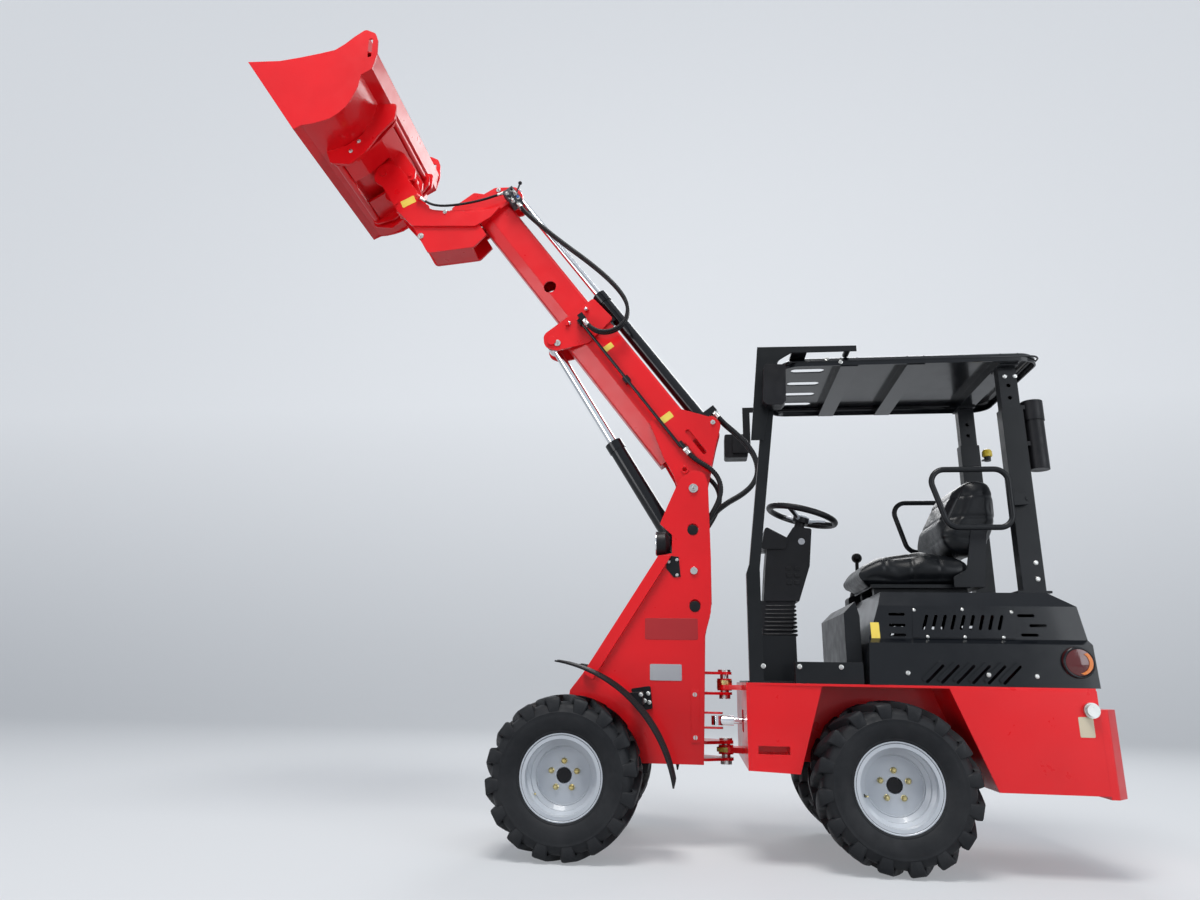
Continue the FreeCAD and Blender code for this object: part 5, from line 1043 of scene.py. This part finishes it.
# Columns: along the boom, above it, finish and reach of the cap.
CARTRIDGES = [(1912, 212, bright_zinc, 0.024), (1912, 246, cap_blue, 0.018),
              (1942, 212, black_plastic, 0.022),
              (1942, 246, bright_zinc, 0.03), (1974, 212, bright_zinc, 0.016),
              (1974, 246, black_plastic, 0.026)]
for number, (u, n, material, reach) in enumerate(CARTRIDGES):
    foot = on_boom(u, n, 116)
    bm = bmesh.new()
    add_hexagon(bm, foot, LEFT, 0.019, -0.002, 0.007)
    add_turned(bm, [(0.006, 0.0085), (0.009, 0.0085), (0.01, 0.007), (0.011, 0.007)], foot, LEFT, 20)
    finish(f"cartridge_seat_{number}", bm, bright_zinc, "inner_boom")
    turned(f"cartridge_cap_{number}", material, "inner_boom",
           [(0.0105, 0), (0.0105, 0.0078), (reach - 0.003, 0.008), (reach, 0.0062), (reach, 0)], foot, LEFT,
           20)
knob = on_boom(1990, 310, 108)
turned("valve_lever_knob", black_plastic, "inner_boom",
       [(-0.011, 0), (-0.009, 0.006), (-0.004, 0.01), (0.001, 0.011), (0.006, 0.0095), (0.01, 0.005),
        (0.011, 0)], knob, BOOM_ALONG, 20)
print("brackets and cartridges made")

# %% [markdown]
# The seat's cushion and back are padded vinyl. Each starts as a slightly smaller copy of its CAD block, is
# remeshed, and swells under pressure in a short cloth simulation, with a limit on how far it may move. The
# sewn channels are then pressed in.

# %% Seat pads
PAD_VOXEL = 0.006
PAD_LIMIT = 0.016
CHANNEL_WIDTH = 0.006
CHANNEL_DEPTH = 0.005


def make_pad(node, channels, along):
    """Padded copy of a CAD block with sewn channels at places along one axis."""
    source = nodes[node]
    low, high = (Vector(c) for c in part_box(node))
    middle = (low + high) / 2
    bm = bmesh.new()
    bm.from_mesh(source.data)
    bmesh.ops.remove_doubles(bm, verts=bm.verts, dist=0.0005)
    for v in bm.verts:
        v.co = middle + (v.co - middle) * 0.95
    mesh = bpy.data.meshes.new(node + "_padded")
    bm.to_mesh(mesh)
    bm.free()
    pad = new_object(node + "_padded", mesh)
    remesh = pad.modifiers.new("remesh", "REMESH")
    remesh.mode = "VOXEL"
    remesh.voxel_size = PAD_VOXEL
    apply_modifiers(pad)
    rest = [v.co.copy() for v in pad.data.vertices]
    cloth = pad.modifiers.new("cloth", "CLOTH")
    cloth.settings.use_pressure = True
    cloth.settings.uniform_pressure_force = 4
    cloth.settings.effector_weights.gravity = 0
    cloth.point_cache.frame_start = 1
    cloth.point_cache.frame_end = 20
    for frame_number in range(1, 21):
        bpy.context.scene.frame_set(frame_number)
    apply_modifiers(pad)
    bpy.context.scene.frame_set(1)
    relax = pad.modifiers.new("relax", "SMOOTH")
    relax.factor = 0.5
    relax.iterations = 70
    apply_modifiers(pad)
    for v, start in zip(pad.data.vertices, rest):
        move = v.co - start
        if move.length > PAD_LIMIT:
            v.co = start + move.normalized() * PAD_LIMIT
        near = min(abs((v.co - middle).dot(along) - place) for place in channels)
        press = CHANNEL_DEPTH * math.exp(-(near / CHANNEL_WIDTH) ** 2)
        inward = (middle - v.co).normalized()
        v.co += inward * press
    softer = pad.modifiers.new("softer", "SMOOTH")
    softer.factor = 0.5
    softer.iterations = 4
    smooth = pad.modifiers.new("smooth", "SUBSURF")
    smooth.levels = 1
    apply_modifiers(pad)
    for polygon in pad.data.polygons:
        polygon.use_smooth = True
    pad.data.materials.clear()
    pad.data.materials.append(seat_vinyl)
    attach(pad, "rear")
    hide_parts(node)
    print(node, "padded,", len(pad.data.vertices), "points")


def apply_modifiers(obj):
    """Replace an object's mesh by what its modifiers make of it."""
    result = evaluated_mesh(obj)
    old = obj.data
    obj.modifiers.clear()
    obj.data = result
    bpy.data.meshes.remove(old)


make_pad("seat_cushion", [-0.12, 0.0, 0.12], AHEAD)
make_pad("seat_back", [-0.1, 0.0, 0.1], UP)

# %% [markdown]
# The steering column stands in a ribbed boot, and the roof's edge has a rounded trim.

# %% Column boot and trim


def rounded_loop(centre, half_x, half_y, corner, steps=6):
    """Level rounded rectangle as a closed line."""
    line = []
    for quarter, (sx, sy) in enumerate(QUARTERS):
        for k in range(steps):
            a = math.radians(90 * quarter + 90 * k / (steps - 1))
            line.append(centre + Vector((sx * (half_x - corner) + corner * math.cos(a),
                                         sy * (half_y - corner) + corner * math.sin(a), 0)))
    return line


bm = bmesh.new()
for k in range(9):
    share = k / 8
    add_tube(bm, rounded_loop(at(-259 - 4 * share, 0, 930 + 150 * share), 0.081 - 0.006 * share,
                              0.064 - 0.004 * share,
                              0.024), 0.0058, 8, closed=True)
finish("column_boot_ribs", bm, black_plastic, "rear")

bm = bmesh.new()
low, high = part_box("roof")
edge = rounded_loop(Vector(((low[0] + high[0]) / 2, 0, high[2] - 0.024)), (high[0] - low[0]) / 2 - 0.002,
                    (high[1] - low[1]) / 2 - 0.002, 0.05, 8)
add_tube(bm, edge, 0.0045, 10, closed=True)
finish("roof_edge_trim", bm, gloss_black, "rear")
print("trim made")

# %% [markdown]
# The steering column's sides have two rows of push switches and a round blank cap. Each is set on the surface
# that a ray finds.

# %% Switches and caps
for number in range(6):
    x = -314 - 38 * (number % 2)
    z = 1240 - 34 * (number // 2)
    for side, word in SIDES:
        label(f"column_switch_{number}_{word}", black_plastic,
              [(x - 13, z - 9), (x + 13, z + 9)], 0.004, side)
for side, word in SIDES:
    point, facing, body = find_surface(at(-379, side * FAR_OUT, 1367), LEFT * -side)
    turned("column_cap_" + word, label_grey, body,
           [(-0.002, 0.016), (0.002, 0.016), (0.0035, 0.0145), (0.0025, 0.012), (0.0025, 0)], point, facing,
           28)

# %% Put the templates away
for template in templates.values():
    bpy.data.objects.remove(template)

# %% [markdown]
# The machine stands on a pale floor in soft studio light. A high key lamp, two low lamps from the camera's
# side and a rim lamp behind light it. The floor sweeps up behind it, and glows where the camera, metal or
# glass sees it.

# %% Floor and light


def seen_directly(tree):
    """One for rays from the camera, metal or glass, and zero for the light that other surfaces gather."""
    path = add(tree, "ShaderNodeLightPath")
    total = path.outputs["Is Camera Ray"]
    for kind in ("Is Glossy Ray", "Is Transmission Ray"):
        node = add(tree, "ShaderNodeMath", {"operation": "ADD", "use_clamp": True})
        tree.links.new(total, node.inputs[0])
        tree.links.new(path.outputs[kind], node.inputs[1])
        total = node.outputs[0]
    return total


def make_floor():
    """Pale floor that sweeps up behind the machine and keeps its shadow."""
    profile = [(20.0, 0.0), (-8.0, 0.0)]
    for k in range(1, 17):
        a = math.radians(90 * k / 16)
        profile.append((-8.0 - 6.0 * math.sin(a), 6.0 - 6.0 * math.cos(a)))
    profile.append((-14.0, 26.0))
    bm = bmesh.new()
    rows = [[bm.verts.new((x, y, z)) for x in (-34, 34)] for y, z in profile]
    for near, far in zip(rows, rows[1:]):
        bm.faces.new((near[0], near[1], far[1], far[0]))
    material, tree, shader = new_material("floor_pale")
    split = add(tree, "ShaderNodeSeparateXYZ", Vector=object_place(tree))
    glow = spread(tree, split.outputs["Z"], 0.0, 7.0, 0.3, 0.62)
    seen = add(tree, "ShaderNodeMath", {"operation": "MULTIPLY"})
    tree.links.new(glow, seen.inputs[0])
    tree.links.new(seen_directly(tree), seen.inputs[1])
    feed(tree, shader, Base_Color=(0.4, 0.41, 0.42, 1), Roughness=0.9, Specular_IOR_Level=0.1,
         Emission_Color=(0.86, 0.89, 0.93, 1), Emission_Strength=seen.outputs[0])
    floor = finish("floor", bm, material)


def add_area(name, place, aim, size, power, colour=(1, 1, 1)):
    """Square soft light at a place, aimed at a point."""
    data = bpy.data.lights.new(name, "AREA")
    data.size = size
    data.energy = power
    data.color = colour
    lamp = new_object(name, data)
    direction = Vector(aim) - Vector(place)
    lamp.matrix_world = Matrix.Translation(Vector(place)) @ direction.to_track_quat("-Z",
                                                                                    "Y").to_matrix().to_4x4()


def make_world():
    """Pale surroundings: a soft sky that lights the machine, and a pale plain view that the camera, gloss and
    glass see.
    """
    world = bpy.data.worlds.new("world")
    bpy.context.scene.world = world
    world.use_nodes = True
    tree = world.node_tree
    background = tree.nodes["Background"]
    output = tree.nodes["World Output"]
    place = add(tree, "ShaderNodeTexCoord")
    split = add(tree, "ShaderNodeSeparateXYZ", Vector=place.outputs["Generated"])
    height = spread(tree, split.outputs["Z"], -0.05, 0.7)
    sky = mix_colour(tree, height, (0.78, 0.8, 0.84), (0.5, 0.62, 0.8))
    tree.links.new(sky, background.inputs["Color"])
    background.inputs["Strength"].default_value = 0.42
    plain = add(tree, "ShaderNodeBackground", Color=(0.7, 0.75, 0.82, 1), Strength=0.9)
    choose = add(tree, "ShaderNodeMixShader", Fac=seen_directly(tree))
    tree.links.new(background.outputs["Background"], choose.inputs[1])
    tree.links.new(plain.outputs["Background"], choose.inputs[2])
    tree.links.new(choose.outputs["Shader"], output.inputs["Surface"])


make_floor()
make_world()
add_area("key", (0.5, 5.0, 13.0), (0, 0, 1.6), 5.0, 1400, (1.0, 0.98, 0.95))
add_area("side", (-7.0, 6.5, 3.0), (0, 0, 1.4), 5.0, 280, (0.92, 0.96, 1.0))
add_area("low", (6.5, 7.0, 1.6), (0, 0, 2.2), 4.0, 210, (0.98, 0.98, 1.0))
add_area("rim", (-2.0, -6.0, 6.0), (0, 0, 2.0), 4.0, 240)

# %% Colours as they are
scene = bpy.context.scene
scene.view_settings.view_transform = "Standard"
